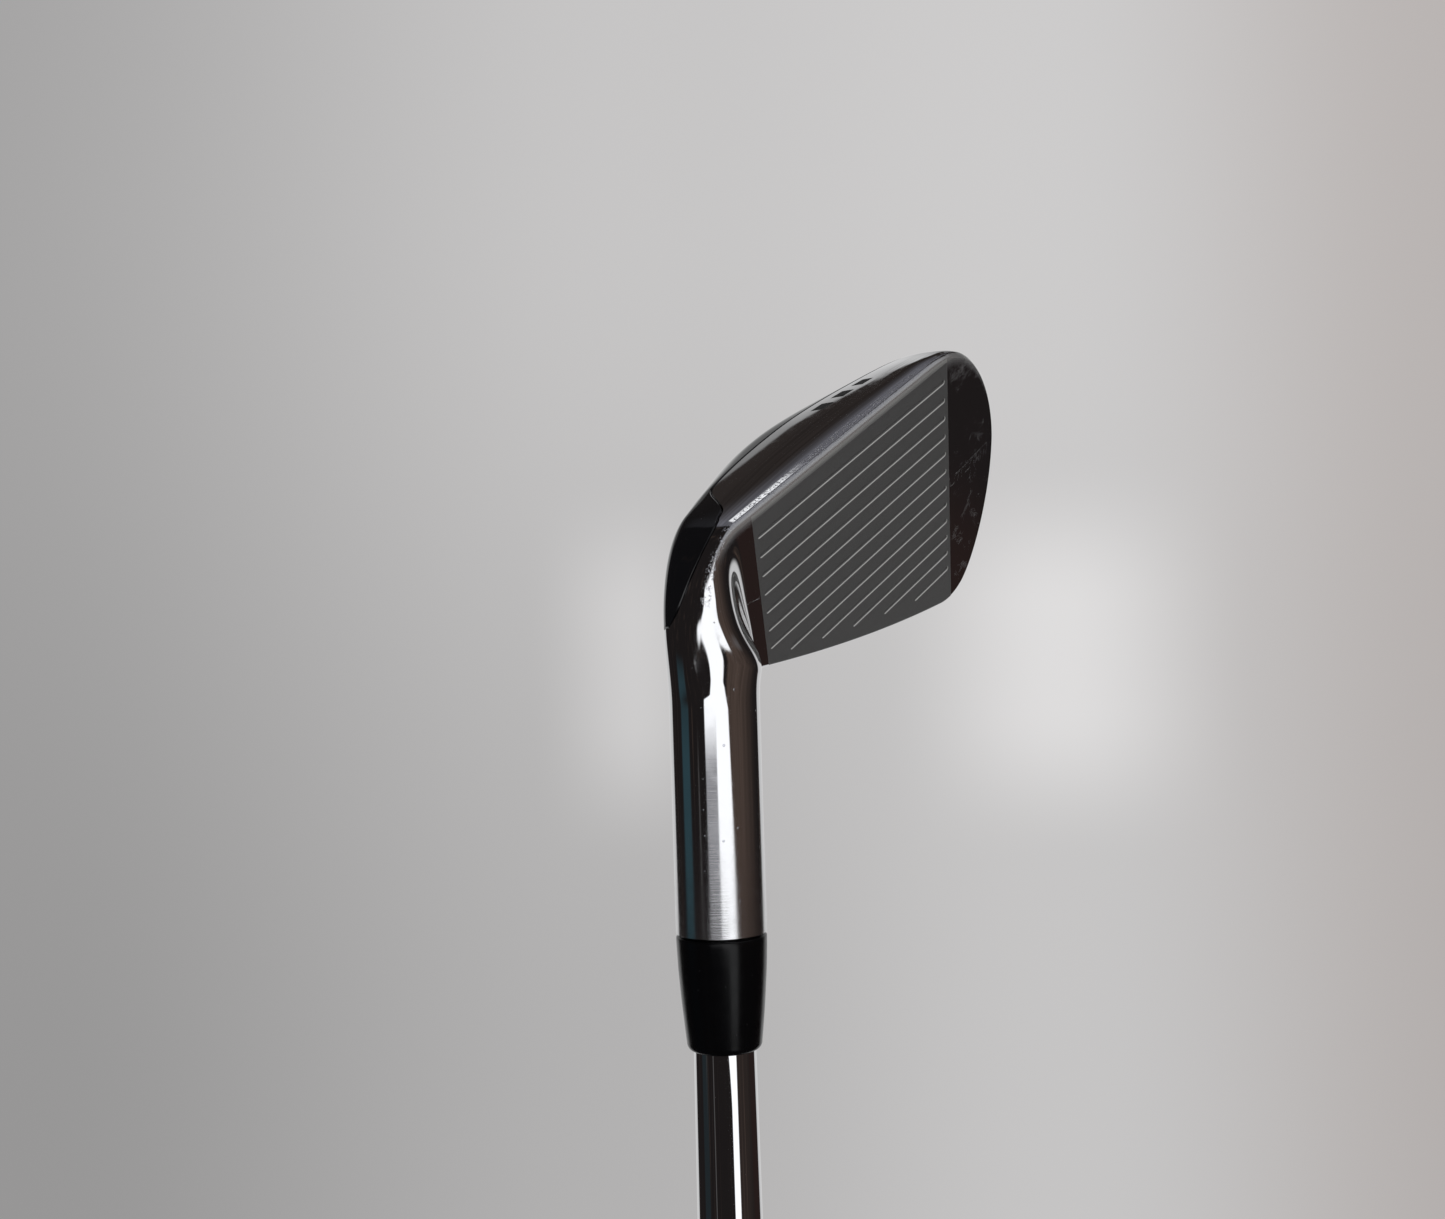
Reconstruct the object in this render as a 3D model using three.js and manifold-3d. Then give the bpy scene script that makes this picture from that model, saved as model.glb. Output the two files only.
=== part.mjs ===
// An iron golf club: a hollow-bodied steel head on a stepped steel shaft with a rubber grip.
// The part stands with its shaft along +Z, head up. The origin is the centre of the grip's butt end.
// -Y is the side that the face looks at, and +X points from the heel towards the toe.
import * as THREE from "three";
import { mergeVertices } from "three/addons/utils/BufferGeometryUtils.js";
import Module from "manifold-3d";

const wasm = await Module();
wasm.setup();

// ---------------------------------------------------------------- driving dimensions, mm and degrees
const CLUB_LENGTH = 965; // butt end to the ground under the heel, along the shaft
const LIE = THREE.MathUtils.degToRad(57.8); // score lines to shaft
const LOFT = THREE.MathUtils.degToRad(25.3); // face to shaft plane
const LATHE_SEGMENTS = 32;

const SCORE_PITCH = 3.6;
const SCORE_LENGTH = 51.9;
const SCORE_WIDTH = 0.9;
const SCORE_DEPTH = 0.45;
const SCORE_FLOOR = 0.4;
const FULL_SCORE_LINES = 7;
const SHORT_SCORE_STARTS = [4.8, 13.1, 21.8, 31, 40.6]; // heel ends of the lines under the topline

// heel end of the lowest score line, from the point where the shaft axis meets the ground
const SCORE_FROM_AXIS = 6.15; // towards the toe
const SCORE_BEHIND_AXIS = -1.27; // away from the target
const SCORE_HEIGHT = 6.03; // above the ground

const HOSEL_RADIUS = 6.625;
const HOSEL_LENGTH = 59.6; // ground to the hosel's end, along the shaft
const BORE_RADIUS = 4.8;
const BORE_DEPTH = 32;
const HOSEL_CHAMFER = 0.35;

const FACE_HEEL = -3.6; // where the flat face ends and the neck begins, from the score lines' heel ends
const FACE_TOE = 67.3;
const TOE_TIP_HEIGHT = 19.4;
const FACE_BOTTOM = -3.8;
const TOPLINE_THICKNESS = 5.8;
const TOPLINE_FRONT_RADIUS = 0.8;
const TOPLINE_BACK_RADIUS = 1.2;
const LEADING_EDGE_RADIUS = 1;
const FACET_LENGTH = 1.7;
const SOLE_LENGTH = 6.8;
const RELIEF_LENGTH = 8.0;
const FACET_ANGLE = THREE.MathUtils.degToRad(6); // each sole strip's rise, from the face's normal
const SOLE_ANGLE = THREE.MathUtils.degToRad(17);
const RELIEF_ANGLE = THREE.MathUtils.degToRad(24);
const HEAD_DEPTH = 21.8; // face to the rear of the muscle
const HEEL_DEPTH = 12.5;
const TOE_DEPTH = 5.8;
const CROTCH_RADIUS = 6;

const PLATE_THICKNESS = 2.4;
const SHELL_THICKNESS = 1.7;
const FIT_GAP = 0.3;

const SHAFT_TIP_RADIUS = 4.5;
const SHAFT_BODY_RADIUS = 4.75;
const SHAFT_BUTT_RADIUS = 7.62;
const SHAFT_WALL = 0.75;
const STEP_COUNT = 11;
const STEP_PITCH = 44.45;
const FIRST_STEP = 281.5; // from the butt end
const FERRULE_LENGTH = 16.4;
const GRIP_LENGTH = 270;
const GRIP_BUTT_RADIUS = 13.2;
const GRIP_MOUTH_RADIUS = 9.7;
const CAP_THICKNESS = 3.6;
const VENT_RADIUS = 1.5;

// ---------------------------------------------------------------- frames
// ground frame: a to the toe along the score lines, b away from the target, h up from the ground
function groundPoint(a, b, h) {
  const x = Math.sin(LIE) * a + Math.cos(LIE) * h;
  const z = CLUB_LENGTH + Math.cos(LIE) * a - Math.sin(LIE) * h;
  return new THREE.Vector3(x, b, z);
}

// face frame: u to the toe, v up the face, w behind the face
function faceToGround([u, v, w]) {
  const b = SCORE_BEHIND_AXIS + v * Math.sin(LOFT) + w * Math.cos(LOFT);
  const h = SCORE_HEIGHT + v * Math.cos(LOFT) - w * Math.sin(LOFT);
  return [SCORE_FROM_AXIS + u, b, h];
}

function facePoint(u, v, w) {
  return groundPoint(...faceToGround([u, v, w]));
}

const FACE_ORIGIN = facePoint(0, 0, 0);
const ALONG_U = facePoint(1, 0, 0).sub(FACE_ORIGIN);
const ALONG_V = facePoint(0, 1, 0).sub(FACE_ORIGIN);
const ALONG_W = facePoint(0, 0, 1).sub(FACE_ORIGIN);

// ---------------------------------------------------------------- face outline
const TOPLINE = new THREE.CurvePath();
TOPLINE.add(bezier([-4.7, 23.1], [13.3, 32.6], [31, 40.6], [49, 46.7]));
TOPLINE.add(bezier([49, 46.7], [51.2, 47.45], [53.6, 47.7], [56.2, 46.4]));
TOPLINE.add(bezier([56.2, 46.4], [60.8, 43.9], [FACE_TOE, 32], [FACE_TOE, TOE_TIP_HEIGHT]));
const BOTTOM = new THREE.CurvePath();
BOTTOM.add(bezier([-4.7, FACE_BOTTOM], [15, FACE_BOTTOM], [32, FACE_BOTTOM], [44, FACE_BOTTOM]));
BOTTOM.add(bezier([44, FACE_BOTTOM], [48, FACE_BOTTOM], [51, -3.9], [54, -3.2]));
BOTTOM.add(bezier([54, -3.2], [62.4, -0.9], [FACE_TOE, 10.3], [FACE_TOE, TOE_TIP_HEIGHT]));

function bezier(...points) {
  const [start, first, second, end] = points.map((point) => new THREE.Vector2(...point));
  return new THREE.CubicBezierCurve(start, first, second, end);
}

// the height of an outline at a distance u along the face
function heightAt(path, u) {
  const curve = path.curves.find((piece) => u <= piece.v3.x) ?? path.curves.at(-1);
  let low = 0;
  let high = 1;
  for (let step = 0; step < 40; step += 1) {
    const middle = (low + high) / 2;
    if (curve.getPoint(middle).x < u) {
      low = middle;
    } else {
      high = middle;
    }
  }
  return curve.getPoint((low + high) / 2).y;
}

// ---------------------------------------------------------------- head surface
// The head is one closed surface of rings: blade sections from toe to heel, a fan of sections
// turning about the crotch, and the hosel's circles. A ring has an anchor where two strips meet:
// 0 face bottom, 1 face middle, 2 face top, 3 topline front, 4 topline rear, 5 upper back,
// 6 cavity foot, 7 muscle top, 8 muscle rear, 9 trailing edge, 10 sole ridge, 11 wear facet,
// 12 leading edge. The ring angles are where the same anchors lie on the hosel's circle.
const RING_DEGREES = [-45, 8, 60, 76, 104, 120, 152, 184, 214, 240, 266, 290, 302];
const RING_ANGLES = RING_DEGREES.map(THREE.MathUtils.degToRad);
const STRIPS = RING_ANGLES.length;
const STRIP_STEPS = [3, 3, 2, 2, 2, 3, 4, 4, 5, 3, 3, 1, 3];

const DEPTH = new THREE.CurvePath();
DEPTH.add(bezier([FACE_HEEL, HEEL_DEPTH], [6, 17.2], [14, HEAD_DEPTH], [26, HEAD_DEPTH]));
DEPTH.add(bezier([26, HEAD_DEPTH], [40, HEAD_DEPTH], [50.5, 12.6], [FACE_TOE, TOE_DEPTH]));

// how steeply the sole's strips rise, as a share of their angles at the middle
const SOLE_RISE = new THREE.CurvePath();
SOLE_RISE.add(bezier([FACE_HEEL, 0.6], [6, 0.87], [14, 1], [26, 1]));
SOLE_RISE.add(bezier([26, 1], [40, 1], [50, 1], [FACE_TOE, 1]));

// anchors of a blade section as [v, w, tangent v, tangent w]
function bladeAnchors(u) {
  const top = heightAt(TOPLINE, u);
  const bottom = heightAt(BOTTOM, u);
  const height = top - bottom;
  const depth = heightAt(DEPTH, u);
  const size = Math.min(1, height / 32);
  const sole = (depth - 2) / (HEAD_DEPTH - 2);
  const thickness = TOPLINE_THICKNESS;
  const edge = LEADING_EDGE_RADIUS * Math.min(1, size * 1.5);
  const rise = heightAt(SOLE_RISE, u);
  const facet = FACET_ANGLE * rise;
  const main = SOLE_ANGLE * rise;
  const relief = RELIEF_ANGLE * rise;
  const leading = [bottom - edge * Math.cos(facet), edge + edge * Math.sin(facet)];
  const wear = strip(leading, facet, FACET_LENGTH * sole);
  const ridge = strip(wear, main, SOLE_LENGTH * sole);
  const trailing = strip(ridge, relief, RELIEF_LENGTH * sole);
  const front = TOPLINE_FRONT_RADIUS;
  const back = TOPLINE_BACK_RADIUS;
  return [
    [bottom, 0, 1, 0],
    [bottom + height / 2, 0, 1, 0],
    [top - front, 0, 1, 0],
    [top, front, 0, 1],
    [top, thickness - back, 0, 1],
    [top - back, thickness, -1, 0],
    [bottom + 24 * size, thickness + (depth - thickness) * 0.13, -0.97, 0.24],
    [bottom + 16.5 * size, thickness + (depth - thickness) * 0.66, -0.8, 0.6],
    [bottom + 9.3 * size, depth, -1, 0.05],
    [...trailing, -Math.sin(relief * 1.15), -Math.cos(relief * 1.15)],
    [...ridge, -Math.sin(main * 1.2), -Math.cos(main * 1.2)],
    [...wear, -Math.sin(facet * 1.6), -Math.cos(facet * 1.6)],
    [...leading, -Math.sin(facet), -Math.cos(facet)],
  ];
}

function strip([v, w], angle, length) {
  return [v + Math.sin(angle) * length, w + Math.cos(angle) * length];
}

// a blade ring in the ground frame: anchors with tangents
function bladeRing(u) {
  return bladeAnchors(u).map(([v, w, tangentV, tangentW]) => {
    const [a, b, h] = faceToGround([u, v, w]);
    const tangentB = tangentV * Math.sin(LOFT) + tangentW * Math.cos(LOFT);
    const tangentH = tangentV * Math.cos(LOFT) - tangentW * Math.sin(LOFT);
    return { point: [a, b, h], tangent: [0, tangentB, tangentH] };
  });
}

// the crotch axis, which the fan of sections turns about
const HEEL_STEP = 0.5;
const HEEL_RING = bladeRing(FACE_HEEL);
const NEXT_RING = bladeRing(FACE_HEEL + HEEL_STEP);
const CROTCH_A = SCORE_FROM_AXIS + FACE_HEEL;
const CROTCH_H = HEEL_RING[3].point[2] + CROTCH_RADIUS;
const CROTCH_TO_AXIS = CROTCH_A * Math.sin(LIE) + CROTCH_H * Math.cos(LIE);
const CROTCH_ALONG_AXIS = CROTCH_H * Math.sin(LIE) - CROTCH_A * Math.cos(LIE);

// how early each anchor reaches the hosel's circle
const FAN_SPEED = [1.2, 1.4, 1.1, 1, 1, 1, 1, 1, 1, 1, 1, 1.05, 1.15];
const SMOOTH_FROM = 0.4; // share of the fan after which its sections have no corners

// each anchor's way through the fan, as depth below the crotch axis and b, with its first slope
const FAN = HEEL_RING.map((anchor, index) => {
  const [, b, h] = anchor.point;
  const below = CROTCH_H - h;
  const slopeH = (NEXT_RING[index].point[2] - h) / HEEL_STEP;
  const slopeB = (NEXT_RING[index].point[1] - b) / HEEL_STEP;
  const angle = RING_ANGLES[index];
  return {
    from: [below, b],
    slope: [slopeH * below * LIE, -slopeB * below * LIE],
    to: [CROTCH_TO_AXIS - HOSEL_RADIUS * Math.sin(angle), -HOSEL_RADIUS * Math.cos(angle)],
    tangent: [-anchor.tangent[2], anchor.tangent[1]],
    speed: FAN_SPEED[index],
  };
});

// the tangent at a place of the circle through it and its two neighbours
function smoothTangent(before, here, after) {
  const arriving = new THREE.Vector2(here[0] - before[0], here[1] - before[1]);
  const leaving = new THREE.Vector2(after[0] - here[0], after[1] - here[1]);
  const ratio = leaving.length() / arriving.length();
  return arriving.multiplyScalar(ratio).addScaledVector(leaving, 1 / ratio).normalize();
}

// a fan ring at a share of the turn from 0 at the blade to 1 at the hosel
function fanRing(share, alongHosel = 0) {
  const turn = share * LIE;
  const places = FAN.map(({ from, to, slope, speed }) => {
    const along = Math.min(1, share * speed);
    const blend = THREE.MathUtils.smoothstep(along, 0, 1);
    const start = (along * (1 - along) ** 2) / speed;
    return [0, 1].map((axis) => mix(from[axis], to[axis], blend) + slope[axis] * start);
  });
  const smooth = THREE.MathUtils.smoothstep(share, 0, SMOOTH_FROM);
  return FAN.map((anchor, index) => {
    const before = places[(index + STRIPS - 1) % STRIPS];
    const after = places[(index + 1) % STRIPS];
    const round = smoothTangent(before, places[index], after);
    const tangent = new THREE.Vector2(...anchor.tangent).lerp(round, smooth).normalize();
    const [below, b] = places[index];
    const a = CROTCH_A - Math.sin(turn) * below - Math.cos(LIE) * alongHosel;
    const h = CROTCH_H - Math.cos(turn) * below + Math.sin(LIE) * alongHosel;
    const direction = [-Math.sin(turn) * tangent.x, tangent.y, -Math.cos(turn) * tangent.x];
    return { point: [a, b, h], tangent: direction };
  });
}

function mix(from, to, share) {
  return from + (to - from) * share;
}

// The station runs 0 to 1 along the blade from toe to heel, 1 to 2 through the fan, 2 to 3 up the hosel.
function ringAt(station) {
  if (station <= 1) {
    return bladeRing(FACE_HEEL + (FACE_TOE - FACE_HEEL) * Math.cos((station * Math.PI) / 2));
  }
  if (station <= 2) {
    return fanRing(station - 1);
  }
  return fanRing(1, (station - 2) * (HOSEL_LENGTH - CROTCH_ALONG_AXIS));
}

// handle length of a strip, as a share of its chord: a third on the blade, a true arc on the hosel
function handleShare(index, station) {
  const next = (index + 1) % STRIPS;
  let turn = RING_ANGLES[next] - RING_ANGLES[index];
  turn += turn < 0 ? 2 * Math.PI : 0;
  const arc = ((4 / 3) * Math.tan(turn / 4)) / (2 * Math.sin(turn / 2));
  return mix(1 / 3, arc, Math.min(1, Math.max(0, station - 1)));
}

// a point of the head's surface: around counts strips from the face's bottom, with fractions
function surfacePoint(ring, station, around) {
  const wrapped = ((around % STRIPS) + STRIPS) % STRIPS;
  const index = Math.floor(wrapped);
  const share = wrapped - index;
  const start = ring[index];
  const end = ring[(index + 1) % STRIPS];
  const chord = Math.hypot(...start.point.map((value, axis) => end.point[axis] - value));
  const reach = chord * handleShare(index, station);
  const near = (1 - share) ** 3;
  const nearHandle = 3 * share * (1 - share) ** 2;
  const farHandle = 3 * share ** 2 * (1 - share);
  const far = share ** 3;
  const ground = start.point.map((value, axis) => {
    const leaving = value + start.tangent[axis] * reach;
    const arriving = end.point[axis] - end.tangent[axis] * reach;
    return near * value + nearHandle * leaving + farHandle * arriving + far * end.point[axis];
  });
  return groundPoint(...ground);
}

function surfaceNormal(station, around) {
  const small = 0.004;
  const ring = ringAt(station);
  const here = surfacePoint(ringAt(Math.max(0.02, station - small)), station, around);
  const there = surfacePoint(ringAt(Math.min(3, station + small)), station, around);
  const before = surfacePoint(ring, station, around - small * 4);
  const after = surfacePoint(ring, station, around + small * 4);
  return there.sub(here).cross(after.sub(before)).normalize();
}

// ---------------------------------------------------------------- solids
function toSolid(geometry) {
  const bare = geometry.clone();
  bare.deleteAttribute("normal");
  bare.deleteAttribute("uv");
  const merged = mergeVertices(bare, 1e-4);
  const triVerts = new Uint32Array(merged.index.array);
  const vertProperties = new Float32Array(merged.attributes.position.array);
  return new wasm.Manifold(new wasm.Mesh({ numProp: 3, vertProperties, triVerts }));
}

function toGeometry(solid) {
  const mesh = solid.getMesh();
  const geometry = new THREE.BufferGeometry();
  geometry.setAttribute("position", new THREE.BufferAttribute(new Float32Array(mesh.vertProperties), 3));
  geometry.setIndex(new THREE.BufferAttribute(new Uint32Array(mesh.triVerts), 1));
  return geometry;
}

// a closed skin over rows of points; closedRows joins each row's end to its start
function gridGeometry(rows, closedRows) {
  const columns = rows[0].length;
  const positions = rows.flat().flatMap((point) => [point.x, point.y, point.z]);
  const faces = [];
  const at = (row, column) => row * columns + (column % columns);
  const last = closedRows ? columns : columns - 1;
  for (let row = 0; row < rows.length - 1; row += 1) {
    for (let column = 0; column < last; column += 1) {
      faces.push(at(row, column), at(row + 1, column + 1), at(row, column + 1));
      faces.push(at(row, column), at(row + 1, column), at(row + 1, column + 1));
    }
  }
  const geometry = new THREE.BufferGeometry();
  geometry.setAttribute("position", new THREE.Float32BufferAttribute(positions, 3));
  geometry.setIndex(faces);
  return geometry;
}

function steps(from, to, count) {
  return Array.from({ length: count + 1 }, (_, index) => mix(from, to, index / count));
}

// fans of triangles that close the first and last row of a tube of rings
function closeEnds(geometry, rows) {
  const columns = rows[0].length;
  const faces = Array.from(geometry.index.array);
  const positions = Array.from(geometry.attributes.position.array);
  [0, rows.length - 1].forEach((row, end) => {
    const centre = new THREE.Vector3();
    rows[row].forEach((point) => centre.addScaledVector(point, 1 / columns));
    const middle = positions.length / 3;
    positions.push(centre.x, centre.y, centre.z);
    for (let column = 0; column < columns; column += 1) {
      const here = row * columns + column;
      const next = row * columns + ((column + 1) % columns);
      faces.push(...(end === 0 ? [middle, here, next] : [middle, next, here]));
    }
  });
  geometry.setAttribute("position", new THREE.Float32BufferAttribute(positions, 3));
  geometry.setIndex(faces);
  return geometry;
}

function outerHead() {
  const around = STRIP_STEPS.flatMap((count, index) => steps(index, index + 1, count).slice(0, -1));
  const stations = [...steps(0.025, 1, 26), ...steps(1, 2, 16).slice(1), ...steps(2, 3, 2).slice(1)];
  const rows = stations.map((station) => {
    const ring = ringAt(station);
    return around.map((place) => surfacePoint(ring, station, place));
  });
  const edge = 1 - HOSEL_CHAMFER / HOSEL_RADIUS;
  const end = rows.at(-1).map((point) => new THREE.Vector3(point.x * edge, point.y * edge, point.z));
  rows.at(-1).forEach((point) => point.setZ(point.z + HOSEL_CHAMFER));
  rows.push(end);
  return toSolid(closeEnds(gridGeometry(rows, true), rows));
}

// A slab that follows the head's surface between two stations. The limits give the two edges, as
// places around the ring, at each station; the slab lies between the depths under and over the surface.
function surfaceSlab(stations, limits, across, under, over) {
  const outer = [];
  const inner = [];
  stations.forEach((station) => {
    const ring = ringAt(station);
    const [from, to] = limits(station);
    const places = steps(from, to, across);
    const skin = places.map((place) => surfacePoint(ring, station, place));
    const normals = places.map((place) => surfaceNormal(station, place));
    outer.push(skin.map((point, index) => point.clone().addScaledVector(normals[index], over)));
    inner.push(skin.map((point, index) => point.clone().addScaledVector(normals[index], -under)));
  });
  const rows = outer.map((row, index) => [...row, ...inner[index].toReversed()]);
  const geometry = gridGeometry(rows, true);
  const columns = rows[0].length;
  const faces = Array.from(geometry.index.array);
  [0, rows.length - 1].forEach((row, end) => {
    for (let column = 0; column < across; column += 1) {
      const base = row * columns;
      const far = base + columns - 1 - column;
      const quad = [base + column, base + column + 1, far - 1, far];
      const [p, q, r, s] = end === 0 ? quad : quad.toReversed();
      faces.push(p, q, r, p, r, s);
    }
  });
  geometry.setIndex(faces);
  return toSolid(geometry);
}

// a prism on a flat outline in the face frame, between two depths behind the face
function facePrism(outline, near, far) {
  const shape = new THREE.Shape(outline.map(([u, v]) => new THREE.Vector2(u, v)));
  const geometry = new THREE.ExtrudeGeometry(shape, { depth: far - near, bevelEnabled: false });
  geometry.translate(0, 0, near);
  const frame = new THREE.Matrix4().makeBasis(ALONG_U, ALONG_V, ALONG_W).setPosition(FACE_ORIGIN);
  return toSolid(geometry.applyMatrix4(frame));
}

// a prism on an outline in the blade's section plane, between two distances along the face
function sectionPrism(outline, heel, toe) {
  const shape = new THREE.Shape(outline.map(([v, w]) => new THREE.Vector2(v, w)));
  const geometry = new THREE.ExtrudeGeometry(shape, { depth: toe - heel, bevelEnabled: false });
  geometry.translate(0, 0, heel);
  const frame = new THREE.Matrix4().makeBasis(ALONG_V, ALONG_W, ALONG_U).setPosition(FACE_ORIGIN);
  return toSolid(geometry.applyMatrix4(frame));
}

// a solid of revolution about the shaft's axis; the profile lists [radius, z] and closes on itself
function turned(profile, segments = LATHE_SEGMENTS) {
  const points = [...profile, profile[0]].map(([radius, z]) => new THREE.Vector2(radius, z));
  const geometry = new THREE.LatheGeometry(points, segments);
  geometry.rotateX(Math.PI / 2);
  const solid = toSolid(geometry);
  if (solid.volume() > 0) {
    return solid;
  }
  const flipped = geometry.toNonIndexed();
  const position = flipped.attributes.position;
  for (let corner = 0; corner < position.count; corner += 3) {
    const first = new THREE.Vector3().fromBufferAttribute(position, corner);
    const second = new THREE.Vector3().fromBufferAttribute(position, corner + 1);
    position.setXYZ(corner, second.x, second.y, second.z);
    position.setXYZ(corner + 1, first.x, first.y, first.z);
  }
  return toSolid(flipped);
}

// ---------------------------------------------------------------- head pieces
const PLATE_HEEL = -0.9;
const PLATE_TOE = 52.7;
const PLATE_BOTTOM = -3.3;
const PLATE_RIM = 1.4; // steel left between the plate and the topline

function plateOutline(grow) {
  const heel = PLATE_HEEL - grow;
  const toe = PLATE_TOE + grow;
  const bottom = PLATE_BOTTOM - grow;
  const topCorners = steps(toe, heel, 10).map((u) => [u, heightAt(TOPLINE, u) - PLATE_RIM + grow]);
  return [[heel, bottom], [toe, bottom], ...topCorners];
}

const WINDOW_HEEL = 5;
const WINDOW_TOE = 49;
const WINDOW_BOTTOM = 5;
const WINDOW_RIM = 5.2;

function windowOutline(shrink) {
  const heel = WINDOW_HEEL + shrink;
  const toe = WINDOW_TOE - shrink;
  const bottom = WINDOW_BOTTOM + shrink;
  const topCorners = steps(toe, heel, 6).map((u) => [u, heightAt(TOPLINE, u) - WINDOW_RIM - shrink]);
  return [[heel, bottom], [toe, bottom], ...topCorners];
}

function scoreLine(index) {
  const short = index - FULL_SCORE_LINES;
  const heel = short < 0 ? 0 : SHORT_SCORE_STARTS[short];
  const v = index * SCORE_PITCH;
  const half = SCORE_WIDTH / 2;
  const floor = SCORE_FLOOR / 2;
  const outline = [
    [v - half, -0.2],
    [v + half, -0.2],
    [v + half, 0],
    [v + floor, SCORE_DEPTH],
    [v - floor, SCORE_DEPTH],
    [v - half, 0],
  ];
  return sectionPrism(outline, heel, SCORE_LENGTH);
}

// The rear shell covers the back, rolls over the trailing edge and widens around the heel. Its
// edge on the sole side runs as [station, place around the ring].
const SHELL_TOE = 0.42;
const SHELL_NECK = 1.585;
const SHELL_EDGE = new THREE.CurvePath();
SHELL_EDGE.add(bezier([SHELL_TOE - 0.1, 9], [0.6, 9], [0.8, 9], [0.915, 9]));
SHELL_EDGE.add(bezier([0.915, 9], [0.945, 9], [0.955, 9.6], [0.98, 10.2]));
SHELL_EDGE.add(bezier([0.98, 10.2], [1.03, 10.9], [1.25, 10.8], [1.36, 10.5]));
SHELL_EDGE.add(bezier([1.36, 10.5], [1.47, 10.2], [1.57, 9.9], [SHELL_NECK + 0.02, 8.9]));
const SHELL_STATIONS = [
  ...steps(SHELL_TOE, 0.9, 10),
  ...steps(0.915, 1.02, 6),
  ...steps(1.06, 1.5, 9),
  ...steps(1.53, SHELL_NECK, 3),
];

function shellLimits(station) {
  const neck = THREE.MathUtils.smoothstep(station, 1, SHELL_NECK);
  return [5.35 + 2.1 * neck, heightAt(SHELL_EDGE, station)];
}

function grownLimits(station) {
  const [top, sole] = shellLimits(station);
  return [top - 0.08, sole + 0.08];
}

function shellSlab(grow, under, over) {
  const stations = [...SHELL_STATIONS];
  if (!grow) {
    return surfaceSlab(stations, shellLimits, 16, under, over);
  }
  stations[0] -= 0.006;
  stations[stations.length - 1] += 0.012;
  return surfaceSlab(stations, grownLimits, 16, under, over);
}

// the badge lies in a shallow pocket of the shell, high on the back
const BADGE_STATIONS = steps(0.56, 0.8, 8);
const BADGE_THICKNESS = 0.8;
const TAPE_THICKNESS = 0.25;

function badgeSlab(grow, under, over) {
  const edge = 0.03 * grow;
  const stations = [...BADGE_STATIONS];
  stations[0] -= 0.005 * grow;
  stations[stations.length - 1] += 0.005 * grow;
  return surfaceSlab(stations, () => [5.52 - edge, 5.9 + edge], 3, under, over);
}

// plain bars of black fill in the sole's relief strip
const BAR_STATIONS = [0.55, 0.6, 0.65];

function soleBar(middle, grow, under, over) {
  const edge = 0.03 * grow;
  const stations = [middle - 0.014 - edge * 0.1, middle + 0.014 + edge * 0.1];
  return surfaceSlab(stations, () => [9.35 - edge, 9.75 + edge], 2, under, over);
}

const OUTER_HEAD = outerHead();
const CUT_OVER = 2;
const FILL_DEPTH = 0.3;

function headBody() {
  const hoselEnd = CLUB_LENGTH - HOSEL_LENGTH;
  const bore = turned([[0, hoselEnd - 1], [BORE_RADIUS, hoselEnd - 1], [BORE_RADIUS, hoselEnd + BORE_DEPTH],
    [0, hoselEnd + BORE_DEPTH + 1.5]]);
  const barPockets = BAR_STATIONS.map((place) => soleBar(place, 1, FILL_DEPTH + 0.1, CUT_OVER));
  return OUTER_HEAD
    .subtract(shellSlab(true, SHELL_THICKNESS + FIT_GAP, CUT_OVER))
    .subtract(facePrism(plateOutline(FIT_GAP), -3, PLATE_THICKNESS + FIT_GAP))
    .subtract(facePrism(windowOutline(0), 1, 30))
    .subtract(wasm.Manifold.union(barPockets))
    .subtract(bore);
}

function facePlate() {
  const count = FULL_SCORE_LINES + SHORT_SCORE_STARTS.length;
  const lines = Array.from({ length: count }, (_, index) => scoreLine(index));
  return facePrism(plateOutline(0), 0, PLATE_THICKNESS).subtract(wasm.Manifold.union(lines));
}

function rearShell() {
  return shellSlab(false, SHELL_THICKNESS, 0)
    .subtract(badgeSlab(1, BADGE_THICKNESS + TAPE_THICKNESS + 0.05, CUT_OVER));
}

// wedge of elastomer behind the face plate, thick at the sole and thin at the topline
function cavityDamper() {
  const section = [[6, 3], [6, 8], [12, 6.5], [20, 3.8], [45, 3.8], [45, 3]];
  const wedge = sectionPrism(section, WINDOW_HEEL, WINDOW_TOE);
  return wedge.intersect(facePrism(windowOutline(0.5), 0, 30));
}

function tungstenWeight(heel, toe) {
  return sectionPrism([[6, 8.4], [6, 12], [9, 11.8], [10.5, 10.6], [10.5, 8]], heel, toe);
}

// ---------------------------------------------------------------- shaft, ferrule and grip
const HOSEL_END = CLUB_LENGTH - HOSEL_LENGTH;
const SHAFT_TOP = HOSEL_END + BORE_DEPTH - 0.6;
const SHAFT_BOTTOM = CAP_THICKNESS + 0.4;

function shaftRadius(z) {
  const step = Math.ceil((z - FIRST_STEP) / STEP_PITCH);
  const drop = (SHAFT_BUTT_RADIUS - SHAFT_BODY_RADIUS) / STEP_COUNT;
  return SHAFT_BUTT_RADIUS - drop * Math.min(STEP_COUNT, Math.max(0, step));
}

function shaftTube() {
  const outside = [[SHAFT_BUTT_RADIUS, SHAFT_BOTTOM]];
  for (let step = 0; step < STEP_COUNT; step += 1) {
    const z = FIRST_STEP + step * STEP_PITCH;
    outside.push([shaftRadius(z - 1), z - 0.4], [shaftRadius(z + 1), z + 0.8]);
  }
  const taperStart = HOSEL_END - FERRULE_LENGTH - 28;
  outside.push([SHAFT_BODY_RADIUS, taperStart], [SHAFT_TIP_RADIUS, HOSEL_END - FERRULE_LENGTH + 2]);
  outside.push([SHAFT_TIP_RADIUS, SHAFT_TOP]);
  const inside = outside.toReversed().map(([radius, z]) => [radius - SHAFT_WALL, z]);
  return turned([...outside, ...inside]);
}

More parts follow.
